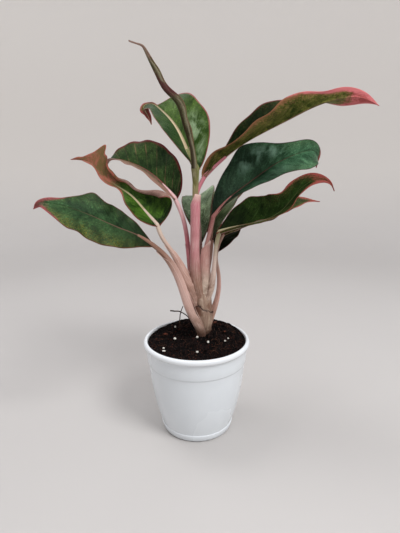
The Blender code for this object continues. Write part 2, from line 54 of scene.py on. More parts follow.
# ---- Leaf shapes and looks -------------------------------------------------------------------------
# stalk and rib are the route from the leaf's foot to its blade and on to its tip. stalk_radii are the
# half-widths (across, through) along the stalk. faces are the ways that the upper side looks, evenly
# spaced along the blade. half_widths are of the left and right halves, seen from above with the tip ahead.
# belly is where the blade is widest. foot and tail shape the outline below and above it. fold is how far
# each half rises from flat, and curl how far it rolls on towards its margin, in degrees, evenly spaced
# along the blade. swells are local changes of the margin: side, place, spread and how much wider. ears are
# how far each half runs back past the foot. ripple is the height of the waves in the margins.
# root is how much wider, across and through, a stalk gets inside the cane, and up to what share of its
# length. sheath is how far up the stalk a sheath that shows reaches, how far round it goes each way from
# its back in degrees, the way that its mouth looks, and how ragged its top is.
# Colours are as they show on a screen, and a pair is for the left and the right half. tones are the
# stalk's near the blade, half way and at the foot. deep is the tone of a painted shade near the blade's
# foot, up to shaded, and dimmed is how far that painted shade covers a half. The margin is margin_mm wide,
# and margin_at_tip times as wide near the tip. The tip's colour starts at tip_from, and earlier by tip_edge
# along the margins. The rib fades to rib_end at rib_until. A painted sheen and a belt lie between two
# places along the blade. greener is how green a lower side is.
LEAF = dict(
    foot=(0.75, 0.75), curl=((0, 0), (0, 0)), swells=(), ears=(3, 3), ripple=1.2, root=(0.8, 0.8, 0.4),
    sheath=None,
    dark=(12, 28, 12), light=(42, 68, 36), deep=(8, 17, 8), shaded=0.35, dimmed=(0.0, 0.0),
    vein=(70, 92, 56), veined=0.25, rib_tone=(132, 92, 82), rib_width=0.7, rib_end=0.15, rib_until=0.9,
    margin_at_tip=1.0, margin=((104, 38, 44), (104, 38, 44)), margin_mm=(0.9, 0.9),
    tip=((112, 54, 48), (158, 78, 76)), tip_from=0.97, tip_edge=0.1, gloss=0.08, speckle=(128, 124, 54),
    speckled=(0.25, 0.25), speckle_from=0.3, speckle_scale=16.0, sheen=(0.0, 0.0), sheen_at=(0.1, 0.6),
    sheen_tone=(158, 180, 146), belt=(0.0, 0.0), belt_tone=(100, 56, 60), greener=(0.0, 0.0),
    under_dark=(44, 56, 26), under_light=(92, 96, 50), under_rib=(150, 110, 98),
)
LEAVES = {
    "leaf_01_spear": dict(
        stalk=((0, 0, 196), (-1, 0, 225), (0, 0, 260), (0, 0, 280), (-1, -2, 298)),
        rib=((-2.5, -4, 316), (-10.5, -8, 342), (-18.5, -11, 362), (-29, -14, 372), (-34, -17, 380.5),
             (-41.2, -21, 395), (-45, -24.3, 403), (-46.8, -25.7, 406), (-52, -27, 408.2), (-59, -29, 410)),
        stalk_radii=((1.4, 1.4), (1.6, 1.6), (3.4, 3.4)),
        faces=((0.9, -0.4, 0.0), (0.9, -0.4, 0.2), (0.8, -0.5, 0.4), (0.6, -0.6, 0.5)),
        half_widths=(6.4, 6.4), belly=0.45, fold=((62, 62), (62, 62)), tail=(1.2, 1.2), ears=(0, 0),
        ripple=0.5,
        swells=((0, 0.15, 0.12, -1.4), (1, 0.15, 0.12, -1.4), (0, 0.36, 0.06, -1.2), (1, 0.36, 0.06, -1.2),
                (0, 0.56, 0.06, -1.5), (1, 0.56, 0.06, -1.5), (0, 0.74, 0.05, 0.8), (1, 0.74, 0.05, 0.8)),
        tones=((98, 98, 44), (110, 100, 50), (168, 126, 112)),
        under_dark=(60, 54, 36), under_light=(116, 116, 86), under_rib=(46, 36, 22), shaded=0.4,
        deep=(34, 40, 14), dark=(54, 48, 30), light=(116, 120, 88), margin=((158, 150, 126), (110, 84, 66)),
        margin_mm=(2.4, 1.2), rib_width=1.2, rib_tone=(100, 92, 60), tip_from=0.93,
        tip=((104, 86, 74), (146, 120, 108)), speckled=(0.5, 0.5), speckle=(104, 64, 56), speckle_from=0.2,
        belt=(0.58, 0.74),
    ),
    "leaf_02_upper_left": dict(
        stalk=((0, 0, 182), (-1, 0, 215), (0, 0, 250), (0, 0, 280), (1, 3, 298)),
        rib=((-6, 7, 311), (-17, 21, 335), (-29, 37, 352), (-41, 52, 364), (-53, 62, 370), (-59, 65, 368),
             (-55, 61, 357), (-51, 60, 347)),
        stalk_radii=((3.0, 3.0), (3.0, 3.0), (3.4, 3.2)),
        faces=((0.0, -0.9, 0.3), (-0.35, -0.8, 0.35), (-0.3, -0.8, 0.4), (-0.5, -0.6, 0.5)),
        half_widths=(18.5, 38), belly=0.4, fold=((50, 5), (50, 5), (36, 8), (0, 10)), tail=(1.9, 4.0),
        foot=(1.0, 0.6),
        swells=((1, 0.4, 0.07, -3), (1, 0.57, 0.06, 4), (1, 0.71, 0.06, -9), (1, 0.86, 0.04, 5),
                (0, 0.81, 0.07, 9), (0, 0.94, 0.05, 3), (1, 0.93, 0.04, 2.5)),
        tones=((104, 112, 48), (176, 132, 120), (170, 130, 116)),
        dark=(30, 54, 12), light=(76, 104, 38), vein=(134, 156, 96), rib_tone=(206, 186, 154),
        margin=((150, 96, 90), (150, 78, 80)), margin_mm=(0.7, 1.3), gloss=0.14, rib_width=1.0, rib_end=0.5,
        shaded=0.1, tip_from=0.92, dimmed=(0.7, 0.0), sheen=(0.0, 0.9), sheen_at=(0.0, 0.42),
        deep=(18, 44, 14),
    ),
    "leaf_03_upper_right": dict(
        stalk=((1, 0, 170), (-1, 0, 195), (-1, 0, 225), (0, 0, 255), (2, 1, 274), (10, 2, 290)),
        rib=((22, -1, 302), (36, -4, 314), (64, -12, 331), (91, -20, 344), (118, -28, 356),
             (137, -34, 360), (154, -38, 359), (167, -42, 352)),
        stalk_radii=((4.4, 4.4), (4.8, 4.8), (4.8, 4.8), (4.7, 4.6), (2.2, 2.2)),
        faces=((-0.4, 0.6, 0.7), (-0.45, 0.1, 0.85), (-0.45, -0.45, 0.75), (-0.4, -0.3, 0.85),
               (-0.35, -0.05, 0.9), (-0.25, 0.3, 0.85), (-0.1, 0.6, 0.75), (0.1, 0.85, 0.5),
               (0.2, 0.95, 0.3)),
        half_widths=(33, 23), belly=0.5, fold=((45, 45), (44, 44), (40, 40), (10, 10)), tail=(1.3, 1.1),
        foot=(2.3, 0.5), swells=((1, 0.72, 0.1, -6), (0, 0.42, 0.1, -3)), root=(3.2, 2.8, 0.35),
        sheath=dict(top=0.83, wrap=168, mouth=(-0.7, 0.7, 0.1), ragged=0.6),
        tones=((196, 112, 128), (186, 126, 130), (140, 108, 92)),
        under_dark=(26, 44, 6), under_light=(104, 106, 50), margin_mm=(1.4, 3.4),
        margin=((96, 48, 44), (146, 98, 72)), dark=(8, 18, 6), light=(28, 44, 20), speckled=(0.1, 1.0),
        speckle=(164, 118, 84), speckle_from=0.0, speckle_scale=9.0, gloss=0.02,
        tip=((170, 84, 84), (204, 116, 118)), tip_from=0.85, tip_edge=0.26, shaded=0.2,
    ),
    "leaf_04_right_broad": dict(
        stalk=((10, 3, 168), (10, 3, 190), (11, 4, 212), (15, 4, 230), (19, 5, 247)),
        rib=((35, 10, 265), (54, 18, 279), (73, 26, 292), (91, 34, 303), (118, 46, 314), (136, 57, 317),
             (146, 70, 311), (149, 84, 298)),
        stalk_radii=((5.5, 5.5), (5.4, 5.0), (5.2, 4.5), (2.4, 2.4), (2.2, 2.2)),
        faces=((-0.4, -0.7, 0.6), (-0.2, -0.75, 0.55), (-0.1, -0.9, 0.35), (0.1, -1.0, 0.15),
               (0.8, -0.6, 0.1)),
        half_widths=(33, 24), belly=0.38, fold=((30, 30), (34, 34), (32, 32), (30, 30), (20, 20)),
        tail=(1.5, 0.6), foot=(0.9, 1.5),
        swells=((0, 0.38, 0.08, 4), (0, 0.6, 0.12, -9), (1, 0.3, 0.12, -5), (1, 0.68, 0.12, 6)),
        root=(2.2, 2.0, 0.4), sheath=dict(top=0.66, wrap=140, mouth=(-0.9, 0.35, 0.1), ragged=3.0),
        tones=((132, 74, 70), (188, 142, 134), (206, 188, 170)),
        dark=(22, 54, 32), light=(76, 118, 86), vein=(90, 122, 96), rib_tone=(96, 62, 56),
        margin=((52, 40, 36), (76, 48, 46)), shaded=0.9, deep=(4, 14, 7), gloss=0.07, sheen=(0.9, 0.2),
        sheen_at=(0.25, 0.62), sheen_tone=(118, 152, 134),
    ),
    "leaf_05_lower_right": dict(
        stalk=((16, -3, 168), (20, -5, 199), (22, -8, 219), (25, -10, 233)),
        rib=((46, -16, 240), (67, -24, 246), (82, -30, 254), (94, -34, 268), (106, -36, 282),
             (120, -38, 287), (129, -40, 283), (133, -40, 276)),
        stalk_radii=((3.0, 2.6), (2.2, 2.2), (2.4, 2.2)),
        faces=((-0.3, -0.5, 0.85), (-0.2, -0.5, 0.85), (-0.6, -0.5, 0.5), (-0.1, -0.85, 0.5)),
        half_widths=(24, 22), belly=0.38, fold=((36, 36), (36, 36), (10, 10)), tail=(1.5, 1.5),
        swells=((0, 0.14, 0.08, 4), (0, 0.28, 0.1, 5), (0, 0.6, 0.08, -5), (1, 0.57, 0.08, 5)),
        root=(1.6, 1.4, 0.5), tones=((150, 146, 108), (216, 194, 182), (190, 164, 148)),
        dark=(8, 22, 4), light=(34, 56, 18), tip_from=0.84, tip_edge=0.3, margin_mm=(0.9, 1.3),
        margin_at_tip=2.1, margin=((92, 44, 40), (136, 92, 74)), rib_tone=(120, 124, 80),
        tip=((70, 60, 34), (138, 68, 62)), speckled=(0.6, 0.6), speckle=(132, 96, 66), gloss=0.04,
    ),
    "leaf_06_under_right": dict(
        stalk=((16, 8, 164), (21, 10, 196), (25, 12, 215), (31, 14, 227)),
        rib=((55, 14, 236), (77, 12, 245), (99, 11, 255), (119, 12, 262), (136, 14, 262)),
        stalk_radii=((2.6, 2.4), (2.0, 2.0), (2.0, 2.0)),
        faces=((-0.3, -0.3, 0.85), (-0.3, -0.45, 0.85), (0, -0.5, 0.8)), half_widths=(20, 22), belly=0.5,
        fold=((30, 30), (20, 20)), tail=(1.5, 1.5), swells=((1, 0.7, 0.12, -5),),
        tones=((140, 104, 88), (180, 142, 128), (176, 142, 126)),
        tip_from=0.9, tip_edge=0.2, margin_mm=(1.4, 1.4), margin_at_tip=1.6,
        tip=((84, 72, 42), (150, 78, 70)), speckled=(0.6, 0.6), light=(70, 84, 40),
    ),
    "leaf_07_low_right": dict(
        stalk=((18, 10, 134), (23, 13, 148), (26, 15, 165), (25, 17, 184), (23, 18, 198), (24, 18, 207)),
        rib=((29, 29, 216), (34, 46, 223), (37, 66, 225), (39, 86, 219)),
        stalk_radii=((3.4, 2.6), (2.4, 2.2), (1.8, 1.8)),
        faces=((-0.3, -0.9, 0.4), (-0.3, -0.7, 0.6), (0, -0.2, 1)), half_widths=(14, 21), belly=0.4,
        fold=((25, 10), (20, 10)), tail=(1.1, 1.1), root=(1.2, 1.2, 0.3),
        tones=((206, 178, 164), (206, 160, 150), (166, 128, 112)),
        dark=(10, 18, 6), light=(32, 42, 20), rib_tone=(120, 120, 92), gloss=0.04,
    ),
    "leaf_08_back_right": dict(
        stalk=((11, 10, 172), (17, 17, 205), (18, 18, 222)),
        rib=((21, 25, 238), (28, 38, 251), (35, 56, 261), (42, 78, 265), (48, 100, 261), (52, 118, 252)),
        stalk_radii=((3.0, 2.4), (2.0, 2.0), (2.0, 2.0)),
        faces=((-0.5, -0.6, 0.6), (-0.4, -0.4, 0.8), (0, 0, 1), (0.3, 0.3, 0.9)), half_widths=(22, 26),
        belly=0.45, fold=((30, 30), (15, 15)), tail=(1.3, 1.3), foot=(0.75, 0.5),
        swells=((1, 0.22, 0.12, 13),), tones=((140, 100, 84), (180, 142, 128), (176, 142, 126)),
        dark=(62, 80, 48), light=(124, 140, 100), rib_tone=(130, 120, 90), shaded=0.3,
    ),
    "leaf_09_back": dict(
        stalk=((4, 8, 174), (5, 14, 200), (5, 16, 217)),
        rib=((5, 22, 236), (3, 34, 252), (3, 52, 262), (3, 74, 265), (2, 100, 260), (0, 124, 246),
             (-1, 138, 232)),
        stalk_radii=((3.0, 2.6), (2.2, 2.0), (2.0, 2.0)),
        faces=((-0.2, -0.9, 0.3), (-0.25, -0.6, 0.8), (-0.15, 0, 1), (0, 0.5, 0.8)), half_widths=(20, 23),
        belly=0.4, fold=((15, 28), (10, 15)), tail=(1.3, 1.3),
        tones=((120, 92, 84), (150, 110, 98), (140, 106, 92)),
        dark=(66, 88, 54), light=(150, 172, 136), rib_tone=(110, 120, 84), shaded=0.3, dimmed=(0.5, 0.0),
    ),
    "leaf_10_mid_left": dict(
        stalk=((-3, 7, 174), (-9, 10, 215), (-15, 12, 248), (-23, 14, 267)),
        rib=((-36, 22, 281), (-56, 36, 296), (-77, 50, 305), (-95, 64, 309), (-106, 78, 307),
             (-113, 92, 300)),
        stalk_radii=((3.2, 2.8), (2.5, 2.3), (2.4, 2.2)),
        faces=((0.3, -0.7, 0.6), (0.2, -0.65, 0.75), (0, -0.6, 0.8), (-0.3, -0.4, 0.85)),
        half_widths=(24, 34), belly=0.36, fold=((38, 38), (36, 36), (25, 25)), tail=(1.2, 1.6),
        foot=(0.5, 0.5), swells=((1, 0.62, 0.06, 2),), root=(1.4, 1.4, 0.4),
        sheath=dict(top=0.45, wrap=110, mouth=(0.9, -0.1, 0.3), ragged=0.8),
        tones=((230, 186, 188), (190, 104, 118), (160, 112, 100)),
        dark=(16, 38, 14), light=(62, 88, 42), vein=(146, 108, 84), veined=0.6, rib_tone=(160, 104, 96),
        margin_mm=(18.0, 2.6), margin=((150, 112, 100), (108, 32, 42)), under_dark=(124, 88, 78),
        under_light=(166, 128, 114), greener=(0.0, 0.85), rib_width=0.9, rib_end=0.6, shaded=0.2,
        speckled=(0.3, 0.5), speckle=(104, 60, 50),
    ),
    "leaf_11_left_arching": dict(
        stalk=((-2, -2, 160), (-14, -6, 190), (-26, -7, 212), (-36.5, -6, 228), (-41, -4, 240)),
        rib=((-57, 8, 256), (-73, 22, 270), (-91, 34, 280), (-108, 44, 293), (-120, 52, 303),
             (-134, 60, 308), (-150, 68, 309)),
        stalk_radii=((5.4, 3.6), (5.4, 3.2), (2.8, 2.4), (2.2, 2.2)),
        faces=((0.3, -0.8, 0.5), (0.3, -0.8, 0.5), (0.3, -0.8, 0.5), (0.2, -0.8, 0.5)),
        half_widths=(16.5, 54), belly=0.15, fold=((15, 15), (15, 20), (15, 20)), tail=(1.4, 1.3),
        foot=(0.6, 0.68),
        curl=((0, 0), (0, 130), (0, 290), (0, 320), (0, 330), (0, 340), (0, 340), (0, 340), (0, 330),
              (0, 260), (0, 180), (0, 80), (0, 20), (0, 0), (0, 0), (0, 0), (0, 0)),
        swells=((0, 0.43, 0.12, -9), (1, 0.3, 0.12, -32), (1, 0.5, 0.12, -22), (1, 0.64, 0.07, -8),
                (1, 0.785, 0.024, 13), (1, 0.88, 0.04, -3), (0, 0.7, 0.1, -3), (0, 0.93, 0.05, -3)),
        root=(1.5, 1.5, 0.3), sheath=dict(top=0.74, wrap=120, mouth=(0.8, -0.25, 0.5), ragged=1.0),
        tones=((196, 176, 160), (184, 146, 134), (166, 132, 118)),
        dark=(12, 34, 4), light=(62, 94, 26), vein=(90, 122, 48), rib_tone=(186, 170, 136),
        under_dark=(112, 82, 74), under_light=(150, 122, 112), greener=(0.8, 0.0), tip_from=0.5,
        shaded=0.05, rib_until=0.6, tip=((92, 76, 44), (148, 84, 70)), under_rib=(150, 112, 104),
        rib_width=1.0, rib_end=0.0, tip_edge=0.14, margin=((108, 52, 46), (118, 64, 56)),
        margin_mm=(1.6, 2.2), speckled=(0.6, 0.6), speckle=(116, 122, 40),
    ),
    "leaf_12_lower_left": dict(
        stalk=((4, -6, 122), (-5, -10, 143), (-13, -13, 169), (-23, -16, 195), (-34, -20, 212),
               (-44, -24, 222)),
        rib=((-57, -32, 233), (-73, -42, 242), (-93, -54, 254), (-113, -64, 264), (-129, -72, 269),
             (-137, -75, 269), (-141, -76, 264)),
        stalk_radii=((5.6, 4.0), (5.4, 3.6), (4.4, 3.0), (2.4, 2.2)),
        faces=((0.1, -0.75, 0.7), (0.1, -0.8, 0.6), (0.2, -0.7, 0.75)), half_widths=(25, 21), belly=0.48,
        fold=((5, 5), (5, 5)), tail=(0.85, 1.1), foot=(0.75, 1.1),
        swells=((1, 0.48, 0.05, -3), (1, 0.6, 0.05, 3), (1, 0.78, 0.09, -4), (0, 0.76, 0.08, 4)),
        root=(-0.6, 1.0, 0.3), sheath=dict(top=0.93, wrap=115, mouth=(0.75, -0.3, 0.6), ragged=0.8),
        tones=((122, 84, 64), (202, 166, 156), (156, 128, 114)),
        dark=(12, 34, 14), light=(54, 86, 50), vein=(74, 96, 58), rib_tone=(112, 86, 74), rib_width=0.55,
        rib_end=0.0, speckled=(1.0, 0.3), speckle=(134, 122, 46), speckle_from=0.05, margin_mm=(1.2, 0.8),
        margin=((92, 58, 42), (90, 48, 44)), shaded=0.6, deep=(12, 24, 12), tip_edge=0.16, tip_from=0.945,
        tip=((104, 58, 54), (146, 76, 78)),
    ),
}
# Each blade's rib goes on from the end of its stalk.
LEAVES = {name: {**LEAF, **leaf, "rib": (leaf["stalk"][-1], *leaf["rib"])} for name, leaf in LEAVES.items()}

# The cane's line, which the stalks are rooted in.
CANE = ((7, 5, 84), (8, 5, 108), (8, 4, 118), (7, 4, 132), (6, 4, 150), (6, 4, 166), (4, 3, 178),
        (1, 1, 188))


# ---- Lines and meshes ------------------------------------------------------------------------------
def cubic(knots, values, places):
    """A smooth curve through the values at the knots, read at the places."""
    knots, values, places = (np.asarray(a, float) for a in (knots, values, places))
    if len(knots) < 3:
        return np.stack([np.interp(places, knots, column) for column in values.T], 1)
    steps = np.diff(knots)
    matrix = np.eye(len(knots))
    rate = np.zeros_like(values)
    for i in range(1, len(knots) - 1):
        before, after = steps[i - 1], steps[i]
        matrix[i, i - 1:i + 2] = before, 2 * (before + after), after
        rate[i] = 6 * ((values[i + 1] - values[i]) / after - (values[i] - values[i - 1]) / before)
    bend = np.linalg.solve(matrix, rate)
    i = np.clip(np.searchsorted(knots, places) - 1, 0, len(knots) - 2)
    step = steps[i][:, None]
    a = ((knots[i + 1] - places) / steps[i])[:, None]
    b = 1 - a
    return (a * values[i] + b * values[i + 1]
            + ((a ** 3 - a) * bend[i] + (b ** 3 - b) * bend[i + 1]) * step ** 2 / 6)


def stations(values, places):
    """The values, given at even spacing from 0 to 1, at the given places."""
    return cubic(np.linspace(0, 1, len(values)), values, places)


def steps_along(points):
    return np.linalg.norm(np.diff(points, axis=0), axis=1)


def spline(points, shares):
    """Points at the given shares of the length of a smooth curve through the given points."""
    points = np.array(points, float)
    knots = np.concatenate([[0.0], np.cumsum(steps_along(points))])
    fine_places = np.linspace(0, knots[-1], 600)
    run = np.concatenate([[0.0], np.cumsum(steps_along(cubic(knots, points, fine_places)))])
    return cubic(knots, points, np.interp(np.asarray(shares) * run[-1], run, fine_places))


def unit(vectors):
    return vectors / np.maximum(np.linalg.norm(vectors, axis=-1, keepdims=True), 1e-12)


def smooth_step(value, low, high):
    share = np.clip((value - low) / (high - low), 0, 1)
    return share * share * (3 - 2 * share)


def hump(value, middle, spread):
    """1 at the middle, falling to 0 on both sides."""
    return np.exp(-((value - middle) / spread) ** 2)


def frames(line, up):
    """Along, right and up directions at each point of a line, for an up that may lean."""
    forward = unit(np.gradient(line, axis=0))
    up = unit(up - forward * (up * forward).sum(1, keepdims=True))
    return forward, np.cross(forward, up), up


def turns_round(sides):
    """Angles evenly spaced round a circle."""
    return np.arange(sides) * 2 * math.pi / sides


def facts_grid(*numbers):
    """Three numbers for each vert of a grid, which shaders read as one fact."""
    return np.stack(np.broadcast_arrays(*numbers), -1)


def add_mesh(name, verts, faces, materials, smooth=True, facts=None):
    """A mesh object from millimetres. facts are vectors kept for each vert."""
    mesh = bpy.data.meshes.new(name)
    mesh.from_pydata((np.asarray(verts) * MM).tolist(), [], [tuple(int(i) for i in face) for face in faces])
    for key, values in (facts or {}).items():
        kept = mesh.attributes.new(key, "FLOAT_VECTOR", "POINT")
        kept.data.foreach_set("vector", values.astype(np.float32).ravel())
    for material in materials:
        mesh.materials.append(material)
    if smooth:
        mesh.shade_smooth()
    mesh.update()
    item = bpy.data.objects.new(name, mesh)
    bpy.context.scene.collection.objects.link(item)
    return item


def skin(rows, first=0):
    """Faces between rows of vert numbers, which all go round. A row of one number closes the end.

    first is the corner that each face starts at, which sets how quads are split in two.
    """
    quads = [(low[i - 1], low[i], high[i], high[i - 1]) for low, high in zip(rows, rows[1:])
             for i in range(len(low))]
    return [tuple(dict.fromkeys(quad[first:] + quad[:first])) for quad in quads]


def tube(rings):
    """Verts and faces of a closed skin over equal rings, capped at both ends."""
    count, sides, _ = rings.shape
    rows = np.arange(count * sides).reshape(count, sides).tolist()
    rows = [[count * sides] * sides, *rows, [count * sides + 1] * sides]
    return np.concatenate([rings.reshape(-1, 3), rings[[0, -1]].mean(1)]), skin(rows)


def merged(pieces):
    """The verts and faces of many small meshes as one."""
    verts, faces, total = [], [], 0
    for points, corners in pieces:
        verts.append(points)
        faces += [tuple(i + total for i in face) for face in corners]
        total += len(points)
    return np.concatenate(verts), faces


# ---- Materials -------------------------------------------------------------------------------------
def screen(red, green, blue):
    """A colour given as it shows on a screen, 0 to 255, in the numbers that a shader takes."""
    shares = [c / 255 for c in (red, green, blue)]
    return tuple(c / 12.92 if c <= 0.04045 else ((c + 0.055) / 1.055) ** 2.4 for c in shares) + (1.0,)


def toned(colour, factor, more=0):
    """A screen colour made darker or lighter."""
    return [min(255, factor * part + more) for part in colour]


class Painter:
    """Makes a material's nodes: most calls add one and return its output. Plain colours are of a screen."""

    def __init__(self, name, roughness=0.5, specular=0.5, coat=0.0):
        self.material = bpy.data.materials.new(name)
        self.material.use_nodes = True
        self.tree = self.material.node_tree
        self.shader = self.tree.nodes["Principled BSDF"]
        self.put_named(self.shader, {"Roughness": roughness, "Specular IOR Level": specular,
                                     "Coat Weight": coat, "Coat Roughness": 0.2})

    def put(self, socket, value):
        if isinstance(value, bpy.types.NodeSocket):
            self.tree.links.new(value, socket)
        elif socket.type == "RGBA":
            socket.default_value = screen(*value)
        else:
            socket.default_value = value

    def put_named(self, node, values):
        for key, value in values.items():
            self.put(node.inputs[key], value)

    def add(self, kind, *values):
        """A new node with the values in its first sockets."""
        node = self.tree.nodes.new("ShaderNode" + kind)
        for socket, value in zip(node.inputs, values):
            self.put(socket, value)
        return node

    def fact(self, name):
        node = self.add("Attribute")
        node.attribute_name = name
        return node.outputs["Vector"]

    def place(self):
        return self.add("TexCoord").outputs["Object"]

    def parts(self, vector):
        return tuple(self.add("SeparateXYZ", vector).outputs)

    def joined(self, x, y, z):
        return self.add("CombineXYZ", x, y, z).outputs[0]

    def reckon(self, operation, *values):
        node = self.add("Math", *values)
        node.operation = operation
        return node.outputs[0]

    def times(self, value, *others):
        for other in others:
            value = self.reckon("MULTIPLY", value, other)
        return value

    def plus(self, value, *others):
        for other in others:
            value = self.reckon("ADD", value, other)
        return value

    def weighted(self, *pairs):
        """The sum of values, each with its weight."""
        return self.plus(*[self.times(value, weight) for value, weight in pairs])

    def scaled(self, vector, scale):
        node = self.add("VectorMath", vector, scale)
        node.operation = "MULTIPLY"
        return node.outputs[0]

    def noise(self, at, scale, detail=2.0, rough=0.5, bend=0.0):
        node = self.add("TexNoise", at)
        self.put_named(node, {"Scale": scale, "Detail": detail, "Roughness": rough, "Distortion": bend})
        return node.outputs["Fac"]

    def grade(self, value, low, high, start=0.0, end=1.0):
        """A smooth change from start to end, while the value goes from low to high."""
        node = self.add("MapRange", value, low, high, start, end)
        node.interpolation_type = "SMOOTHSTEP"
        return node.outputs[0]

    def fade(self, value, low, high):
        return self.grade(value, low, high, 1.0, 0.0)

    def mix(self, share, a, b):
        node = self.tree.nodes.new("ShaderNodeMix")
        node.data_type = "RGBA"
        for socket, value in zip((node.inputs[0], node.inputs[6], node.inputs[7]), (share, a, b)):
            self.put(socket, value)
        return node.outputs[2]

    def cover(self, share, tone):
        """Lay a tone over the colour so far."""
        self.colour = self.mix(share, self.colour, tone)

    def finish(self, roughness=None, height=None, depth=0.0002):
        """The material, in the colour so far, with its roughness and the height and depth of its bumps."""
        self.put(self.shader.inputs["Base Color"], self.colour)
        if roughness is not None:
            self.put(self.shader.inputs["Roughness"], roughness)
        if height is not None:
            bump = self.add("Bump")
            self.put_named(bump, {"Distance": depth, "Height": height})
            self.put(self.shader.inputs["Normal"], bump.outputs["Normal"])
        return self.material


LOWER_GREEN = (66, 84, 50)


class LeafPainter(Painter):
    """Knows where on a blade it paints, and the patterns that its layers share."""

    def __init__(self, name, leaf, lower):
        super().__init__(name, specular=0.05 if lower else leaf["gloss"])
        self.leaf, self.lower = leaf, lower
        self.flat = self.fact("leaf_flat")
        self.along, self.across, _ = self.parts(self.fact("leaf_share"))
        self.rib_away, self.edge, self.phase = self.parts(self.fact("leaf_band"))
        self.aside = self.reckon("ABSOLUTE", self.across)
        self.to_right = self.grade(self.across, -0.01, 0.01)
        run = self.joined(self.times(self.phase, 1.3), self.times(self.across, 1.2), self.along)
        self.feather = self.noise(run, 3.6, 6, 0.7)
        self.patches = self.noise(self.flat, 0.6, 3, 0.55, 0.6)
        self.grain = self.noise(self.flat, 11.0, 4, 0.7)
        self.mottle = self.weighted((self.feather, 0.32), (self.patches, 0.34), (self.grain, 0.34))

    def halves(self, key):
        """A number of the leaf that may differ between its left and right half."""
        left, right = self.leaf[key]
        return left if left == right else self.plus(self.times(self.to_right, right - left), left)


def paint_greens(p):
    side = "under_" if p.lower else ""
    dark, light = p.leaf[side + "dark"], p.leaf[side + "light"]
    p.colour = p.mix(p.grade(p.mottle, 0.38, 0.62), dark, light)
    flecks = p.grade(p.noise(p.flat, 6.0, 2, 0.55, 0.6), 0.58, 0.66, 0.0, 0.42)
    p.cover(p.times(flecks, p.grade(p.patches, 0.4, 0.6, 0.25, 1.0)), toned(light, 1.4, 14))
    if p.lower and any(p.leaf["greener"]):
        p.cover(p.halves("greener"), LOWER_GREEN)


def paint_veins(p):
    from_vein = p.reckon("ABSOLUTE", p.plus(p.reckon("FRACT", p.plus(p.phase, 0.5)), -0.5))
    vein = p.times(p.grade(from_vein, 0.01, 0.07, p.leaf["veined"], 0.0), p.fade(p.aside, 0.7, 0.95),
                   p.grade(p.patches, 0.4, 0.6, 0.15, 1.0))
    p.cover(vein, p.leaf["under_rib" if p.lower else "vein"])


def paint_shade(p):
    # Painted shade: darker towards the blade's foot, up to shaded, and over each half as far as dimmed
    # says.
    up_blade = p.plus(p.along, p.times(p.plus(p.mottle, -0.5), 0.6))
    shade = p.grade(up_blade, 0.0, p.leaf["shaded"], 0.5 if p.lower else 0.9, 0.0)
    if not p.lower:
        shade = p.reckon("MINIMUM", p.plus(shade, p.halves("dimmed")), 0.95)
    p.cover(shade, p.leaf["deep"])


def paint_sheen(p):
    """Cloudy light between the midrib and the margin."""
    low, high = p.leaf["sheen_at"]
    cloudy = p.weighted((p.feather, 0.3), (p.patches, 0.7))
    catching = p.times(p.grade(p.along, low, low + 0.12), p.fade(p.along, high - 0.12, high),
                       p.grade(p.aside, 0.2, 0.5), p.fade(p.aside, 0.6, 0.95), p.halves("sheen"),
                       p.grade(cloudy, 0.38, 0.66))
    p.cover(catching, p.leaf["sheen_tone"])


def paint_speckles(p):
    """Fine dots, more of them towards the tip and the margins."""
    start = p.leaf["speckle_from"]
    dots = p.grade(p.noise(p.flat, p.leaf["speckle_scale"], 4, 0.7), 0.5, 0.6)
    region = p.times(p.grade(p.along, start, start + 0.45), p.grade(p.aside, 0.25, 0.95))
    speckled = p.times(dots, p.halves("speckled"), p.plus(region, 0.08),
                       p.grade(p.patches, 0.35, 0.6, 0.35, 1.0))
    p.cover(speckled, p.leaf["speckle"])


def paint_ends(p):
    """The margins and the tip, and a belt of their colour where there is one."""
    leaf = p.leaf
    uneven = p.plus(p.weighted((p.noise(p.flat, 1.4, 3, 0.6), 0.6), (p.grain, 0.4)), -0.5)
    spread = p.times(p.plus(p.times(uneven, 3.2), 1.0), p.halves("margin_mm"),
                     p.grade(p.along, 0.55, 0.9, 1.0, leaf["margin_at_tip"]))
    rimmed = p.grade(p.reckon("DIVIDE", p.edge, p.reckon("MAXIMUM", spread, 0.1)), 0.3, 1.4, 0.85, 0.0)
    p.cover(rimmed, p.mix(p.to_right, *leaf["margin"]))
    reach = p.plus(p.along, p.times(uneven, 0.4), p.grade(p.edge, 0.0, 5.0, leaf["tip_edge"], 0.0))
    tip_tone = p.mix(p.grade(p.plus(p.mottle, p.times(rimmed, 0.15)), 0.46, 0.58), *leaf["tip"])
    p.cover(p.grade(reach, leaf["tip_from"] - 0.07, leaf["tip_from"] + 0.06), tip_tone)
    if any(leaf["belt"]):
        low, high = leaf["belt"]
        started = p.grade(reach, low - 0.03, low + 0.03, 0.0, 0.85)
        p.cover(p.times(started, p.fade(reach, high - 0.03, high + 0.03)), leaf["belt_tone"])


def paint_rib(p):
    tone = p.leaf["under_rib" if p.lower else "rib_tone"]
    covered = p.times(p.grade(p.rib_away, p.leaf["rib_width"] - 0.45, p.leaf["rib_width"], 0.9, 0.0),
                      p.grade(p.along, 0.3, p.leaf["rib_until"], 1.0, p.leaf["rib_end"]))
    streak = p.noise(p.scaled(p.flat, (0.6, 14, 1)), 1.5, 2)
    p.cover(covered, p.mix(streak, toned(tone, 0.75), toned(tone, 1.1)))


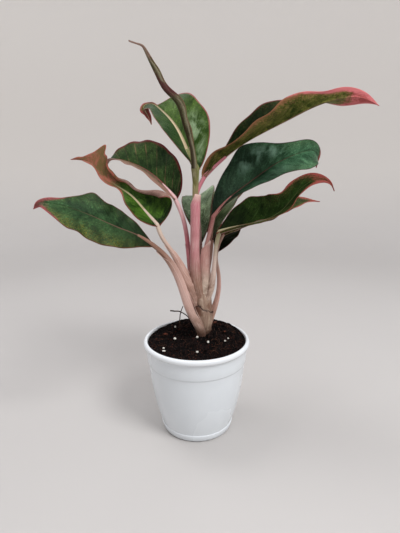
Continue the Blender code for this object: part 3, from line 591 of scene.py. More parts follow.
def leaf_material(name, leaf, lower=False):
    """Leaf green, mottled and streaked along its side veins, with painted shade and sheen, a coloured
    margin, tip and midrib.
    """
    p = LeafPainter(name, leaf, lower)
    paint_greens(p)
    paint_veins(p)
    paint_shade(p)
    if any(leaf["sheen"]) and not lower:
        paint_sheen(p)
    paint_speckles(p)
    paint_ends(p)
    paint_rib(p)
    smoothest, roughest = (0.4, 0.55) if lower else (0.26, 0.42)
    height = p.weighted((p.grain, 0.5), (p.feather, 0.8))
    return p.finish(p.grade(p.feather, 0.3, 0.7, smoothest, roughest), height, 0.0005)


# The darker tone of the stalks and the cane just above the soil.
NEAR_SOIL_DARK = (76, 50, 38)
DRY_EDGE = (214, 186, 174)


def stalk_material(name, blade_colour, middle_colour, foot_colour, edge_share=0.5):
    """Stalk skin in three tones, finely streaked, darker near the soil, with a dry edge on a sheath."""
    p = Painter(name, roughness=0.42, specular=0.25)
    along, around, edge = p.parts(p.fact("stalk_share"))
    streaks = p.noise(p.joined(p.times(along, 3.0), p.times(around, 5.0), edge), 3.0, 4, 0.6)
    fine = p.noise(p.joined(p.times(along, 8.0), p.times(around, 26.0), 0.0), 3.0, 3, 0.6)
    blotch = p.noise(p.place(), 95.0, 4, 0.6, 0.3)
    p.colour = p.mix(p.grade(along, 0.0, 0.4), foot_colour, middle_colour)
    p.cover(p.grade(along, 0.45, 0.95), blade_colour)
    p.cover(p.grade(streaks, 0.42, 0.75, 0.0, 0.35), (232, 212, 202))
    p.cover(p.grade(fine, 0.5, 0.8, 0.0, 0.4), (118, 74, 66))
    browned = p.times(p.grade(blotch, 0.45, 0.68, 0.0, 0.7), p.grade(along, -0.05, 0.3, 1.0, 0.15))
    p.cover(browned, (112, 78, 62))
    p.cover(p.grade(edge, 0.0, 1.0, edge_share, 0.0), DRY_EDGE)
    height = p.plus(p.parts(p.place())[2], p.times(blotch, 0.012))
    p.cover(p.grade(height, 0.121, 0.136, 0.85, 0.0), NEAR_SOIL_DARK)
    return p.finish(p.grade(streaks, 0.3, 0.7, 0.36, 0.55), fine, 0.00025)


def plain_bits(name, dark, light, scale, roughness, depth):
    """A rough mineral or woody surface in two mixed tones."""
    p = Painter(name, roughness=roughness, specular=0.25)
    place = p.place()
    coarse, fine = p.noise(place, scale, 6, 0.6), p.noise(place, scale * 5, 4, 0.7)
    p.colour = p.mix(p.grade(p.weighted((coarse, 0.6), (fine, 0.4)), 0.38, 0.64), dark, light)
    return p.finish(None, fine, depth)


def pot_material():
    """Glossy white plastic with a cool cast, hardly uneven, with a few faint smudges and a painted
    highlight on its rim.
    """
    p = Painter("pot_white_plastic", roughness=0.24, specular=0.4, coat=0.2)
    place = p.place()
    cloud = p.noise(place, 14.0, 3, 0.5)
    smudge = p.noise(p.scaled(place, (1, 1, 0.4)), 210.0, 2, 0.5)
    p.colour = p.mix(p.grade(cloud, 0.3, 0.7), (217, 223, 228), (223, 229, 234))
    # Painted highlight: the rim, above 102 mm, is lighter.
    p.cover(p.grade(p.parts(place)[2], 0.102, 0.104, 0.0, 0.8), (226, 230, 234))
    p.cover(p.grade(smudge, 0.72, 0.8, 0.0, 0.3), (176, 172, 168))
    return p.finish(p.grade(cloud, 0.3, 0.7, 0.2, 0.3), cloud, 0.0001)


def soil_material(name, dark, light):
    """Peat in two tones, with reddish specks."""
    p = Painter(name, roughness=0.9, specular=0.12)
    place = p.place()
    coarse, fine = p.noise(place, 160.0, 6, 0.65), p.noise(place, 700.0, 4, 0.7)
    p.colour = p.mix(p.grade(p.weighted((coarse, 0.55), (fine, 0.45)), 0.48, 0.66), dark, light)
    p.cover(p.grade(p.noise(place, 420.0, 1), 0.66, 0.73, 0.0, 0.6), (84, 40, 28))
    return p.finish(None, fine, 0.0008)


def cane_material():
    """Pinkish tan skin in painted light and shade, streaked along its length, browner towards the soil,
    with one dark, ragged scar.
    """
    p = Painter("cane_skin", roughness=0.5, specular=0.25)
    height, turn, above = p.parts(p.fact("cane_fact"))
    place = p.place()
    streaks = p.noise(p.scaled(place, (1, 1, 0.12)), 420.0, 5, 0.6)
    patches = p.noise(place, 85.0, 4, 0.6, 0.4)
    # Painted light and shade: paler on the right front, where the key light falls, and darker round the
    # back left.
    painted_lit = p.grade(p.reckon("COSINE", p.plus(turn, -5.6)), -0.2, 0.95)
    p.colour = p.mix(painted_lit, (96, 72, 60), (166, 143, 125))
    p.cover(p.grade(streaks, 0.35, 0.65, 0.5, 0.0), (112, 80, 66))
    p.cover(p.grade(streaks, 0.55, 0.75, 0.0, 0.5), (206, 184, 168))
    p.cover(p.grade(patches, 0.5, 0.66, 0.0, 0.7), (116, 80, 62))
    # A darker brown patch below the middle scar, partly its own colour and partly painted shade: it is
    # strongest on the side in painted shade.
    below = p.times(p.grade(above, -2.0, -0.6, 0.0, 0.85), p.fade(above, 0.0, 0.02))
    p.cover(p.times(below, p.grade(painted_lit, 0.3, 0.95, 1.0, 0.15)), (84, 52, 42))
    uneven = p.times(p.noise(place, 260.0, 3), 0.13)
    scar = p.grade(p.reckon("ABSOLUTE", above), uneven, p.plus(uneven, 0.06), 0.9, 0.0)
    p.cover(p.times(scar, p.grade(patches, 0.36, 0.5, 0.35, 1.0)), (46, 24, 18))
    p.cover(p.grade(height, 1.15, 1.28, 0.85, 0.0), NEAR_SOIL_DARK)
    return p.finish(None, streaks, 0.0005)


# ---- Leaves ----------------------------------------------------------------------------------------
ROOT_DROP = 16  # how far a root goes down below the stalk's foot
ROOT_PULL = 0.6  # how far it goes in towards the middle of the cane, as a share

ALONG_COUNT = 150  # stations along a blade
ACROSS_COUNT = 24  # stations across each half
BLADE_THICKNESS = 0.55
VEIN_COUNT = 9
VEIN_SLANT = 0.24
VEIN_RELIEF = 0.22
RIB_GROOVE = 0.35
KEEL_LOSS = 0.82  # how much narrower the keel is at the tip, as a share
# The waves in the margins: size, how many along the blade, and their shift with each leaf and side.
WAVES = ((1.0, 3.3, 0.37, 0.45), (0.5, 7.1, 0.61, 0.2))
EAR_LENGTH = 0.16  # how far up the blade its ears go, as a share
STALK_SIDES = 20
KEEL_REACH = 0.16  # how far a stalk runs on under its blade, as a share of the blade
SHEATH_SIDES = 18
SHEATH_WALL = 0.7


def blade_outline(places, belly, tail, foot):
    """Half-width of a blade from its foot to its tip, as a share of the widest."""
    low = np.sin(math.pi / 2 * np.clip(places / belly, 0, 1)) ** foot
    high = np.cos(math.pi / 2 * np.clip((places - belly) / (1 - belly), 0, 1)) ** tail
    return np.where(places < belly, low, high)


def half_width(leaf, side, along, keel):
    """Half-width of one side of a blade, with its swells, and nowhere narrower than the keel."""
    tail, foot, widest = (leaf[key][side] for key in ("tail", "foot", "half_widths"))
    width = blade_outline(along, leaf["belly"], tail, foot) * widest
    for swell_side, place, spread, wider in leaf["swells"]:
        if swell_side == side:
            width = width + wider * hump(along, place, spread)
    return np.maximum(width, keel)


def blade_half(leaf, side, seed, along, keel, rib_line, ways):
    """Half of a blade's middle sheet: its points, and where each lies between the midrib and the margin."""
    forward, right, up = (way[:, None] for way in ways)
    sign = (-1, 1)[side]
    reach = np.linspace(0, 1, ACROSS_COUNT) ** (0.8 if np.any(leaf["curl"]) else 1.35)
    width = half_width(leaf, side, along, keel)[:, None]
    folds, curls = (np.radians(stations(leaf[key], along))[:, side, None] for key in ("fold", "curl"))
    angle = folds + curls * reach ** 3
    step = np.diff(reach, prepend=0)
    aside = (np.cos(angle) * step).cumsum(1) * width
    raised = (np.sin(angle) * step).cumsum(1) * width
    wave = sum(size * np.sin(2 * math.pi * (along * count + by_leaf * seed + by_side * side))
               * np.sin(math.pi * along) for size, count, by_leaf, by_side in WAVES)
    raised = raised + leaf["ripple"] * wave[:, None] * reach ** 2.5
    back = leaf["ears"][side] * np.clip(1 - along / EAR_LENGTH, 0, 1)[:, None] ** 2
    back = back * np.sin(math.pi / 2 * reach) ** 1.5
    grid = (rib_line[:, None] + right * sign * aside[..., None] + up * raised[..., None]
            - forward * back[..., None])
    phase = VEIN_COUNT * (along[:, None] - VEIN_SLANT * reach ** 0.8 * (1 - 0.4 * along[:, None]))
    return dict(grid=grid, away=width * reach, edge=width * (1 - reach), phase=phase,
                reach=sign * reach + 0 * phase, across=sign * width * reach)


def blade_sides(sheet, keel):
    """The upper and lower side of a blade: veins and a groove above, veins and the keel below."""
    reach = np.abs(sheet["reach"])
    fade = smooth_step(reach, 0.03, 0.2) * (1 - smooth_step(reach, 0.75, 1.0))
    quilt = VEIN_RELIEF * (np.abs(np.sin(math.pi * sheet["phase"])) ** 0.7 - 0.6) * fade
    groove = RIB_GROOVE * hump(sheet["away"], 0, 0.5 * keel + 0.2)
    half = BLADE_THICKNESS / 2 * (1 - 0.55 * reach ** 3)
    under = half + np.sqrt(np.clip(1 - (sheet["away"] / keel) ** 2, 0, 1)) * keel
    closing = np.ones((len(keel), 1))
    closing[-1] = 0.15
    grid = sheet["grid"]
    normal = unit(np.cross(np.gradient(grid, axis=1), np.gradient(grid, axis=0)))
    upper = grid + normal * ((half + quilt - groove) * closing)[..., None]
    return upper, grid - normal * ((under - quilt) * closing)[..., None]


def sheet_faces(rows, columns):
    """Faces of a closed sheet, whose lower verts follow the upper ones, and how many of them are upper."""
    index = np.arange(rows * columns).reshape(rows, columns)
    a, b, c, d = index[:-1, :-1], index[:-1, 1:], index[1:, 1:], index[1:, :-1]
    top = np.stack([a, b, c, d], -1).reshape(-1, 4)
    bottom = np.stack([d, c, b, a], -1).reshape(-1, 4) + rows * columns
    rim = np.concatenate([index[0, ::-1], index[1:, 0], index[-1, 1:], index[-2:0:-1, -1]])
    onward = np.roll(rim, -1)
    wall = np.stack([rim, onward, onward + rows * columns, rim + rows * columns], -1)
    return np.concatenate([top, bottom, wall]), len(top)


def blade_mesh(leaf, seed):
    """Verts, faces, the number of upper faces, and the leaf coordinates of each vert of a blade."""
    even = np.linspace(0, 1, ALONG_COUNT)
    along = even - 0.07 * np.sin(2 * math.pi * even)
    rib_line = spline(leaf["rib"], along)
    ways = frames(rib_line, stations(leaf["faces"], along))
    keel = leaf["stalk_radii"][-1][0] * (1 - KEEL_LOSS * along ** 0.7)
    left, right = (blade_half(leaf, side, seed, along, keel, rib_line, ways) for side in (0, 1))
    sheet = {key: np.concatenate([left[key][:, :0:-1], right[key]], axis=1) for key in left}
    verts = np.concatenate(blade_sides(sheet, keel[:, None])).reshape(-1, 3)
    length = steps_along(rib_line).sum()
    facts = {
        "leaf_flat": facts_grid(along[:, None] * length / 10, sheet["across"] / 10, seed * 3.7),
        "leaf_share": facts_grid(along[:, None], sheet["reach"], np.abs(sheet["reach"])),
        "leaf_band": facts_grid(sheet["away"] / keel[:, None], sheet["edge"], sheet["phase"]),
    }
    faces, upper_count = sheet_faces(*sheet["reach"].shape)
    return verts, faces, upper_count, {key: np.concatenate([fact, fact]) for key, fact in facts.items()}


def build_blade(name, leaf, seed):
    verts, faces, upper_count, facts = blade_mesh(leaf, seed)
    materials = [leaf_material(name + "_upper", leaf), leaf_material(name + "_lower", leaf, lower=True)]
    blade = add_mesh(name + "_blade", verts, faces, materials, facts=facts)
    sides = np.zeros(len(blade.data.polygons), dtype=np.int32)
    sides[upper_count:] = 1
    blade.data.polygons.foreach_set("material_index", sides)
    return blade


def rooted(leaf, top, count):
    """A stalk from its root inside the cane: places along it as shares, its line and its half-widths."""
    wider, deeper, spread = leaf["root"]
    foot = np.array(leaf["stalk"][0], float)
    low = foot[2] - ROOT_DROP
    heart = [np.interp(low, [p[2] for p in CANE], [p[axis] for p in CANE]) for axis in (0, 1)]
    root = np.append(foot[:2] + ROOT_PULL * (np.array(heart) - foot[:2]), low)
    below = np.linalg.norm(foot - root) / steps_along(np.array(leaf["stalk"], float)).sum()
    places = np.linspace(-below, top, count)
    line = spline((root, *leaf["stalk"]), (places + below) / (1 + below))
    radii = np.maximum(stations(leaf["stalk_radii"], np.clip(places, 0, 1)), 1.2)
    swelling = 1 - smooth_step(places, -below, spread)
    return places, line, radii + swelling[:, None] * np.array([wider, deeper])


def build_stalk(name, leaf, seed):
    """A stalk that runs a little way on under its blade, where it becomes the keel."""
    places, stalk_line, radii = rooted(leaf, 1.0, 64)
    rib_line = spline(leaf["rib"], np.linspace(0, KEEL_REACH, 14))[1:]
    line = np.concatenate([stalk_line, rib_line])
    down = np.concatenate([places, np.ones(len(rib_line))])
    radii = np.concatenate([radii, np.repeat(radii[-1:], len(rib_line), 0)])
    if leaf["sheath"]:
        slim = np.array(leaf["stalk_radii"][-1]) * 1.02
        thick = (1 - smooth_step(down, leaf["sheath"]["top"] - 0.25, leaf["sheath"]["top"] + 0.05))[:, None]
        radii = slim + (radii - slim) * thick * 0.6
    radii = radii * np.concatenate([np.ones(len(places)), np.linspace(0.97, 0.72, len(rib_line))])[:, None]
    _, right, up = frames(line, np.repeat([np.array(leaf["faces"][0], float)], len(line), 0))
    line = line - up * np.concatenate([np.zeros(len(places)), np.linspace(0, 0.9, len(rib_line))])[:, None]
    turns = turns_round(STALK_SIDES)
    lumps = 1 + 0.03 * np.sin(3 * turns + seed)[None] + 0.02 * np.sin(11 * down + seed)[:, None]
    groove = 1 - 0.16 * hump(turns, math.pi / 2, 0.35)[None]
    rings = (line[:, None] + right[:, None] * (np.cos(turns) * lumps)[..., None] * radii[:, None, :1]
             + up[:, None] * (np.sin(turns) * lumps * groove)[..., None] * radii[:, None, 1:])
    verts, faces = tube(rings)
    share = facts_grid(down[:, None], np.cos(turns)[None], 1.0).reshape(-1, 3)
    share = np.concatenate([share, [[0, 0, 1], [1, 0, 1]]])
    material = stalk_material(name + "_skin", *leaf["tones"])
    return add_mesh(name + "_stalk", verts, faces, [material], facts={"stalk_share": share})


def build_sheath(name, leaf, seed):
    """The sheath goes all round at its root, and opens upwards into two margins and a slanting top."""
    sheath, face = leaf["sheath"], np.array(leaf["faces"][0], float)
    places, line, radii = rooted(leaf, sheath["top"], 56)
    forward, side, mouth = frames(line, np.repeat([np.array(sheath["mouth"], float)], len(line), 0))
    across = unit(face - forward * (forward @ face)[:, None])
    wide = np.cross(forward, across)
    run = np.clip(places / sheath["top"], 0, 1)
    closed = 1 - smooth_step(run, 0.1, 0.5)
    wrap = np.radians(sheath["wrap"] + (178 - sheath["wrap"]) * closed)
    wrap = wrap * (0.4 + 0.6 * (1 - smooth_step(run, 0.8, 1.0)))
    shares_round = np.linspace(-1, 1, SHEATH_SIDES * 2 + 1)
    jag = sheath["ragged"] * np.array([noise.noise(Vector((s * 4, seed * 1.7, 0))) for s in shares_round])
    turn = wrap[:, None] * shares_round[None]
    ways = -mouth[:, None] * np.cos(turn)[..., None] + side[:, None] * np.sin(turn)[..., None]
    reach_wide, reach_deep = ((ways * way[:, None]).sum(-1) for way in (wide, across))
    size = 1 / np.sqrt((reach_wide / radii[:, None, 0]) ** 2 + (reach_deep / radii[:, None, 1]) ** 2)
    flare = (0.5 * smooth_step(np.abs(shares_round), 0.8, 1.0)[None]
             + 0.35 * smooth_step(run, 0.85, 1.0)[:, None])
    raggedness = forward[:, None] * (jag[None] * run[:, None] ** 6)[..., None]
    walls = []
    for inset in (0.0, SHEATH_WALL):
        thin = inset * (1 - 0.7 * np.abs(shares_round) ** 4)
        grown = size + 0.25 + flare * (1 - closed)[:, None] - thin
        walls.append(line[:, None] + ways * grown[..., None] + raggedness)
    verts, faces = tube(np.concatenate([walls[0], walls[1][:, ::-1]], axis=1))
    edge = (1 - np.abs(shares_round))[None] * 9 + closed[:, None]
    edge = np.clip(np.minimum(edge, (1 - run)[:, None] * 9), 0, 1)
    share = facts_grid(places[:, None], shares_round[None], edge)
    share = np.concatenate([share, share[:, ::-1]], axis=1).reshape(-1, 3)
    share = np.concatenate([share, [[0, 0, 1], [sheath["top"], 0, 0]]])
    material = stalk_material(name + "_sheath_skin", *leaf["tones"], edge_share=0.8)
    return add_mesh(name + "_sheath", verts, faces, [material], facts={"stalk_share": share})


for number, (leaf_name, leaf) in enumerate(LEAVES.items()):
    made = [build_blade(leaf_name, leaf, number), build_stalk(leaf_name, leaf, number)]
    if leaf["sheath"]:
        made.append(build_sheath(leaf_name, leaf, number))
    for piece in made:
        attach(piece, "root")
        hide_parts(leaf_name)

# ---- Pot -------------------------------------------------------------------------------------------
RIM_RADIUS, POT_HEIGHT, FOOT_RADIUS, FLOOR_Z = 60.5, 109.0, 38.0, 4.0
POT_PROFILE = (
    (0, 0), (13, 0), (14, 1.2), (28, 1.2), (29, 0), (36.6, 0), (FOOT_RADIUS, 0.3), (40.0, 1.0), (40.8, 2.2),
    (41.5, 4.6), (42.2, 7.6), (42.2, 8.3), (41.7, 8.9), (42.3, 11.4), (44.6, 18.5), (48.2, 32), (50.9, 46),
    (52.9, 58.5), (54.4, 71), (55.4, 82.6), (55.6, 83.5), (56.3, 84.2), (56.6, 85.2), (57.2, 93),
    (57.7, 101.4), (58.0, 102.3), (59.0, 102.7), (60.0, 103.6), (RIM_RADIUS, 105.2), (60.4, 106.8),
    (59.8, 108.0), (58.8, 108.8), (57.7, POT_HEIGHT), (56.9, 108.8), (56.3, 108.0), (56.1, 106.4),
    (55.9, 103.6), (53.8, 83.0), (51.2, 58.5), (46.6, 32), (40.4, 9.0), (38.5, FLOOR_Z + 0.8),
    (36.5, FLOOR_Z), (0, FLOOR_Z),
)
POT_SIDES = 192
DRAIN_RING, DRAIN_HOLES, DRAIN_RADIUS = 21.0, 5, 2.4


def turned(name, profile, sides, materials):
    """A solid of revolution from its (radius, height) outline, which runs from axis to axis."""
    verts, rows = [], []
    for radius, height in profile:
        start = len(verts)
        if radius == 0:
            verts.append((0, 0, height))
            rows.append([start] * sides)
        else:
            verts += [(radius * math.cos(t), radius * math.sin(t), height) for t in turns_round(sides)]
            rows.append(list(range(start, start + sides)))
    return add_mesh(name, verts, skin(rows), materials)


def cut_hole(body, turn):
    """Cut a drain hole through the pot's floor."""
    hole = turned("drain_hole", [(0, -1), (DRAIN_RADIUS, -1), (DRAIN_RADIUS, 9), (0, 9)], 32, [])
    hole.location = (DRAIN_RING * MM * math.cos(turn), DRAIN_RING * MM * math.sin(turn), 0)
    cutting = body.modifiers.new("hole", "BOOLEAN")
    cutting.operation = "DIFFERENCE"
    cutting.solver = "EXACT"
    cutting.object = hole
    bpy.context.view_layer.objects.active = body
    with bpy.context.temp_override(object=body, active_object=body, selected_objects=[body]):
        bpy.ops.object.modifier_apply(modifier=cutting.name)
    bpy.data.objects.remove(hole)


def build_pot():
    body = turned("pot_shell", POT_PROFILE, POT_SIDES, [pot_material()])
    for k in range(DRAIN_HOLES):
        cut_hole(body, 2 * math.pi * (k + 0.13) / DRAIN_HOLES)
    body.data.shade_smooth()
    body.data.set_sharp_from_angle(angle=math.radians(50))
    return body


pot = build_pot()
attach(pot, "root")
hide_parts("pot")

# ---- Soil ------------------------------------------------------------------------------------------
SOIL_EDGE_Z, SOIL_CROWN_Z, SOIL_RADIUS, BACK_HEAP = 106.5, 116.5, 55.8, 8.5
SOIL_CENTRE = (8, 5)
CROWN_WIDTH, BACK_HEAP_X, BACK_HEAP_WIDTH = 24, 10, 48
# The soil's side down inside the pot, from under its top to the pot's floor: radius and height.
SOIL_SIDE = ((53.4, 83), (50.8, 58.5), (46.2, 32), (40.0, 9.3), (38.1, 5.1), (36.2, 4.3))
SOIL_SIDES, SOIL_RINGS = 240, 90
CRUMB_COUNT, FIBRE_COUNT = 650, 90


def soil_height(x, y):
    """Height of the soil: heaped towards the cane and at the back, with low lumps."""
    away = np.hypot(x - SOIL_CENTRE[0], y - SOIL_CENTRE[1])
    inside = SOIL_RADIUS - np.hypot(x, y)
    crown = (SOIL_CROWN_Z - SOIL_EDGE_Z) * hump(away, 0, CROWN_WIDTH)
    back = BACK_HEAP * np.exp(-((x - BACK_HEAP_X) / BACK_HEAP_WIDTH) ** 4) * smooth_step(y, -10, 35)
    heap = np.maximum(crown, back * np.clip(inside / 9, 0.55, 1))
    lumps = 0.7 * np.sin(0.21 * x + 1) * np.cos(0.19 * y + 2) + 0.4 * np.sin(0.47 * x - 0.33 * y)
    return SOIL_EDGE_Z + heap + lumps * np.clip(inside / 6, 0, 1)


def crumbly(x, y):
    """Fine relief of the soil's top: clods, crumbs and pits."""
    clods = noise.turbulence(Vector((x * 0.16, y * 0.16, 3.0)), 4, False)
    crumbs = noise.turbulence(Vector((x * 0.62, y * 0.62, 8.0)), 3, False)
    return 2.1 * (clods - 0.55) + 1.4 * (crumbs - 0.5)


def build_soil():
    verts = []
    for k in range(SOIL_RINGS):
        radius = SOIL_RADIUS * ((k + 0.5) / (SOIL_RINGS - 0.5)) ** 0.8
        for t in turns_round(SOIL_SIDES):
            x, y = radius * math.cos(t), radius * math.sin(t)
            relief = crumbly(x, y) * min(1, (SOIL_RADIUS - radius) / 2 + 0.3)
            verts.append((x, y, soil_height(x, y) + relief))
    for radius, height in SOIL_SIDE:
        verts += [(radius * math.cos(t), radius * math.sin(t), height) for t in turns_round(SOIL_SIDES)]
    rows = np.arange(len(verts)).reshape(-1, SOIL_SIDES).tolist()
    faces = [*skin(rows[::-1], 3), rows[0], rows[-1][::-1]]
    return add_mesh("soil_bed", verts, faces, [soil_material("soil_peat", (5, 2, 2), (36, 22, 20))])


def lump(rng, size, level=2, rough=0.22):
    """Verts and faces of a rough granule of that length, width and height, round the origin."""
    mesh = bmesh.new()
    bmesh.ops.create_icosphere(mesh, subdivisions=level, radius=1)
    points = np.array([v.co[:] for v in mesh.verts])
    faces = [[v.index for v in f.verts] for f in mesh.faces]
    mesh.free()
    shift = rng.uniform(0, 50, 3)
    swell = [1 + rough * 2.2 * noise.fractal(Vector(p * 1.4 + shift), 1.0, 2.0, 3) for p in points]
    points = points * np.array(swell)[:, None] * np.array(size) / 2
    turn = rng.uniform(0, math.pi)
    cos, sin = math.cos(turn), math.sin(turn)
    return points @ np.array([[cos, sin, 0], [-sin, cos, 0], [0, 0, 1]]), faces


def scattered(rng, margin, least):
    """A random place on the soil, at least the margin from its edge."""
    radius, turn = (SOIL_RADIUS - margin) * math.sqrt(rng.uniform(least, 1)), rng.uniform(0, 2 * math.pi)
    return radius * math.cos(turn), radius * math.sin(turn)


def crumb(rng):
    """A loose crumb of soil where it lies."""
    x, y = scattered(rng, 1.5, 0.01)
    length = rng.uniform(0.9, 4.2) * rng.uniform(0.6, 1.0)
    size = (length, length * rng.uniform(0.5, 0.9), length * rng.uniform(0.4, 0.8))
    points, corners = lump(rng, size, 1, 0.3)
    return points + (x, y, soil_height(x, y) + crumbly(x, y) + length * 0.1), corners


def build_crumbs(seed):
    """Loose crumbs of soil, scattered over its top."""
    rng = np.random.default_rng(seed)
    verts, faces = merged(crumb(rng) for _ in range(CRUMB_COUNT))
    material = soil_material("soil_crumb", (8, 4, 4), (62, 36, 28))
    return add_mesh("soil_crumbs", verts, faces, [material], smooth=False)


def strand(line, radius, sides=6):
    """Rings of a thin round strand along a line, tapering to its end."""
    forward = unit(np.gradient(line, axis=0))
    side = unit(np.cross(forward, (0.3, 1, 0.2)))
    other = np.cross(forward, side)
    turns = turns_round(sides)
    circle = np.cos(turns)[None, :, None] * side[:, None] + np.sin(turns)[None, :, None] * other[:, None]
    thin = radius * np.linspace(1, 0.55, len(line))
    return line[:, None] + circle * thin[:, None, None]


def fibre(rng):
    """A short bent fibre that lies in the soil's surface."""
    x, y = scattered(rng, 5, 0.02)
    length, way = rng.uniform(4, 13), rng.uniform(0, 2 * math.pi)
    bend = rng.uniform(-0.9, 0.9)
    spots = []
    for s in np.linspace(-0.5, 0.5, 7):
        px = x + length * s * math.cos(way + bend * s)
        py = y + length * s * math.sin(way + bend * s)
        shrink = min(1, (SOIL_RADIUS - 1.5) / max(math.hypot(px, py), 1))
        px, py = px * shrink, py * shrink
        spots.append((px, py, soil_height(px, py) + crumbly(px, py) + 0.5 + rng.uniform(-0.3, 0.7)))
    return tube(strand(spline(spots, np.linspace(0, 1, 12)), rng.uniform(0.12, 0.3), 5))


def build_fibres(seed):
    """Coir and root fibres in the soil's surface."""
    rng = np.random.default_rng(seed)
    verts, faces = merged(fibre(rng) for _ in range(FIBRE_COUNT))
    material = plain_bits("coir_fibre", (40, 22, 16), (92, 56, 38), 300.0, 0.8, 0.0002)
    return add_mesh("soil_fibres", verts, faces, [material])


for piece in (build_soil(), build_crumbs(5), build_fibres(6)):
    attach(piece, "root")
    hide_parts("soil")

# ---- Cane ------------------------------------------------------------------------------------------
CANE_RADII = (3.0, 4.0, 7.5, 10.8, 11.2, 9.6, 5.0, 1.0)
CANE_STATIONS, CANE_SIDES = 150, 72
# The scars that old sheaths left: height, depth, slant in millimetres and the way that the high side looks.
CANE_SCARS = ((121, 0.5, 2.0, 2.2), (145, 1.1, 7.5, 3.3), (160, 0.5, 3.0, 2.0))
SCAR_RAGGED, SCAR_BELOW, SCAR_ABOVE = 3.5, 7, 1.6


def build_cane():
    shares = np.linspace(0, 1, CANE_STATIONS)
    line = spline(CANE, shares)
    radii = stations([[r] for r in CANE_RADII], shares)
    turns = turns_round(CANE_SIDES)
    height = line[:, None, 2] + 0 * turns[None]

    def roughness(stretch, shift, octaves):
        """Noise round the cane, drawn out along it."""
        return np.array([[noise.fractal(Vector((math.cos(t) * 2, math.sin(t) * 2, h * stretch + shift)),
                                        1.0, 2.0, octaves) for t in turns] for h in line[:, 2]])

    rough, ragged = roughness(0.06, 0, 4), roughness(0.02, 9, 3)
    relief = np.zeros_like(height)
    above = []
    for level, depth, slant, high_side in CANE_SCARS:
        over = height - level - slant * np.cos(turns[None] - high_side) - SCAR_RAGGED * ragged
        relief += depth * np.where(over < 0, hump(over, 0, SCAR_BELOW), -0.6 * hump(over, 0, SCAR_ABOVE))
        above.append(over)
    furrow = 0.25 * np.sin(9 * turns + 1)[None] * np.sin(0.05 * height) + 0.15 * np.sin(23 * turns)[None]
    circle = np.stack([np.cos(turns), np.sin(turns), 0 * turns], 1)
    verts, faces = tube(line[:, None] + (radii + relief + furrow + 0.8 * rough)[..., None] * circle)
    fact = facts_grid(height / 100, turns[None], above[1] / 10).reshape(-1, 3)
    fact = np.concatenate([fact, fact[[0, -1]]])
    return add_mesh("cane_stem", verts, faces, [cane_material()], facts={"cane_fact": fact})


cane = build_cane()
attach(cane, "root")
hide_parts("cane")

# ---- Perlite, bark and dry roots -------------------------------------------------------------------
# Each perlite grain and bark chip is a finer lump where its CAD node is.
PERLITE_WHITE = plain_bits("perlite_white", (196, 192, 182), (250, 248, 240), 500.0, 0.85, 0.0006)
BARK_BROWN = plain_bits("bark_brown", (46, 22, 16), (112, 58, 40), 380.0, 0.85, 0.0008)
ROOT_BROWN = plain_bits("dry_root_brown", (34, 24, 20), (88, 62, 48), 400.0, 0.8, 0.0003)
TWIGS = {
    "dry_root_1": ((-21, 22, 108), (-20.5, 21, 116), (-20, 20, 124), (-18.6, 19, 133), (-16, 19, 140)),
    "dry_root_2": ((-31, 18, 135), (-25, 17.6, 134.5), (-18.6, 17.4, 133.5), (-11, 15, 129),
                   (-6, 12.5, 123)),
}
TWIG_RADIUS = 0.8
TWIG_SEED = 11  # without a seed, the twigs' bends differ from run to run
SUNK = 0.8  # how far a grain goes down into the soil, below its CAD node
FIRST_BIT_SEED = 70


def build_bit(node, material, seed, rough):
    low, high = (np.array(corner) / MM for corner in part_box(node))
    low[2] -= SUNK
    points, faces = lump(np.random.default_rng(seed), (1, 1, 1), 3, rough)
    points = points - points.min(0)
    points = low + points / points.max(0) * (high - low)
    return add_mesh(node + "_grain", points, faces, [material])


for k, node in enumerate(sorted(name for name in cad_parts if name.startswith(("perlite", "bark")))):
    is_perlite = node.startswith("perlite")
    material, rough = (PERLITE_WHITE, 0.16) if is_perlite else (BARK_BROWN, 0.24)
    bit = build_bit(node, material, FIRST_BIT_SEED + k, rough)
    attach(bit, "root")
    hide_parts(node)

noise.seed_set(TWIG_SEED)
for node, route in TWIGS.items():
    line = spline(route, np.linspace(0, 1, 40))
    line = line + 0.35 * np.array([noise.noise_vector(Vector(p * 0.22))[:] for p in line])
    verts, faces = tube(strand(line, TWIG_RADIUS, 10))
    twig = add_mesh(node + "_fibre", verts, faces, [ROOT_BROWN])
    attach(twig, "root")
    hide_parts(node)

# ---- Floor, light and camera -----------------------------------------------------------------------
# The floor sweeps up into a pale wall all round.
STUDIO_SIDES = 96
FLAT_RADIUS = 500
SWEEP = ((900, 0), (1150, 40), (1300, 160), (1370, 360), (1390, 700), (1400, 1500))


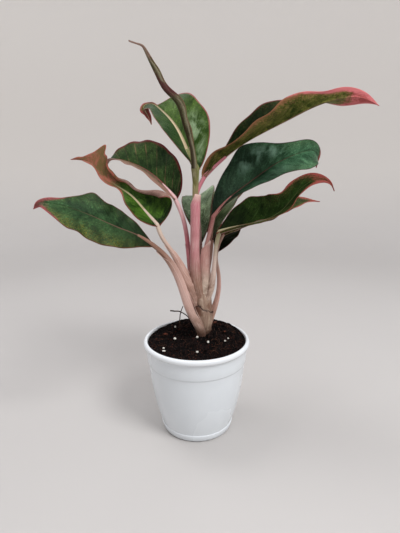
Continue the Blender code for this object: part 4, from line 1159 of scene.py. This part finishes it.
def build_studio():
    """The floor and its wall, one open surface."""
    outline = spline([(r, 0, h) for r, h in SWEEP], np.linspace(0, 1, 24))
    outline = [(FLAT_RADIUS, 0)] + [(r, max(h, 0)) for r, _, h in outline]
    verts = [(r * math.cos(t), r * math.sin(t), h) for r, h in outline for t in turns_round(STUDIO_SIDES)]
    rows = np.arange(len(verts)).reshape(-1, STUDIO_SIDES).tolist()
    faces = skin([*rows[::-1], [len(verts)] * STUDIO_SIDES], 3)
    verts.append((0, 0, 0))
    p = Painter("studio_pale", roughness=0.75, specular=0.15)
    place = p.place()
    p.colour = p.mix(p.noise(place, 2.0, 3), (182, 179, 177), (190, 187, 185))
    p.cover(p.grade(p.parts(place)[2], 0.0, 0.35), (203, 199, 195))
    return add_mesh("studio_floor", verts, faces, [p.finish()])


build_studio()

SKY_TONE = (206, 208, 214)
SKY_STRENGTH = 1.34
world = bpy.data.worlds.new("studio")
world.use_nodes = True
world.node_tree.nodes["Background"].inputs["Color"].default_value = screen(*SKY_TONE)
world.node_tree.nodes["Background"].inputs["Strength"].default_value = SKY_STRENGTH
bpy.context.scene.world = world

# Name, place, size in metres and power in watts. Both lights look at the middle of the plant.
LIGHTS = (("key", (0.7, -0.75, 1.35), 0.6, 16.5), ("fill", (-0.55, 0.3, 1.5), 0.7, 7.0))
LIGHT_AIM = Vector((0, 0, 0.2))


def area_light(name, place, size, power):
    data = bpy.data.lights.new(name, "AREA")
    data.shape = "DISK"
    data.size = size
    data.energy = power
    light = bpy.data.objects.new(name, data)
    light.location = place
    light.rotation_mode = "QUATERNION"
    light.rotation_quaternion = (LIGHT_AIM - Vector(place)).to_track_quat("-Z", "Y")
    bpy.context.scene.collection.objects.link(light)


for light in LIGHTS:
    area_light(*light)

# Where the camera is, in metres, and how far it looks down and leans, in degrees.
CAMERA_PLACE = (0.0049, -0.4274, 0.2986)
CAMERA_DOWN = 13.9
CAMERA_ROLL = 0.3
camera_data = bpy.data.cameras.new("camera")
camera_data.sensor_width = 36.0
camera_data.lens = 27.0
camera_data.clip_start = 0.01
camera = bpy.data.objects.new("camera", camera_data)
camera.location = CAMERA_PLACE
camera.rotation_euler = (math.radians(90 - CAMERA_DOWN), math.radians(CAMERA_ROLL), 0)
bpy.context.scene.collection.objects.link(camera)
bpy.context.scene.camera = camera
bpy.context.scene.view_settings.view_transform = "Standard"
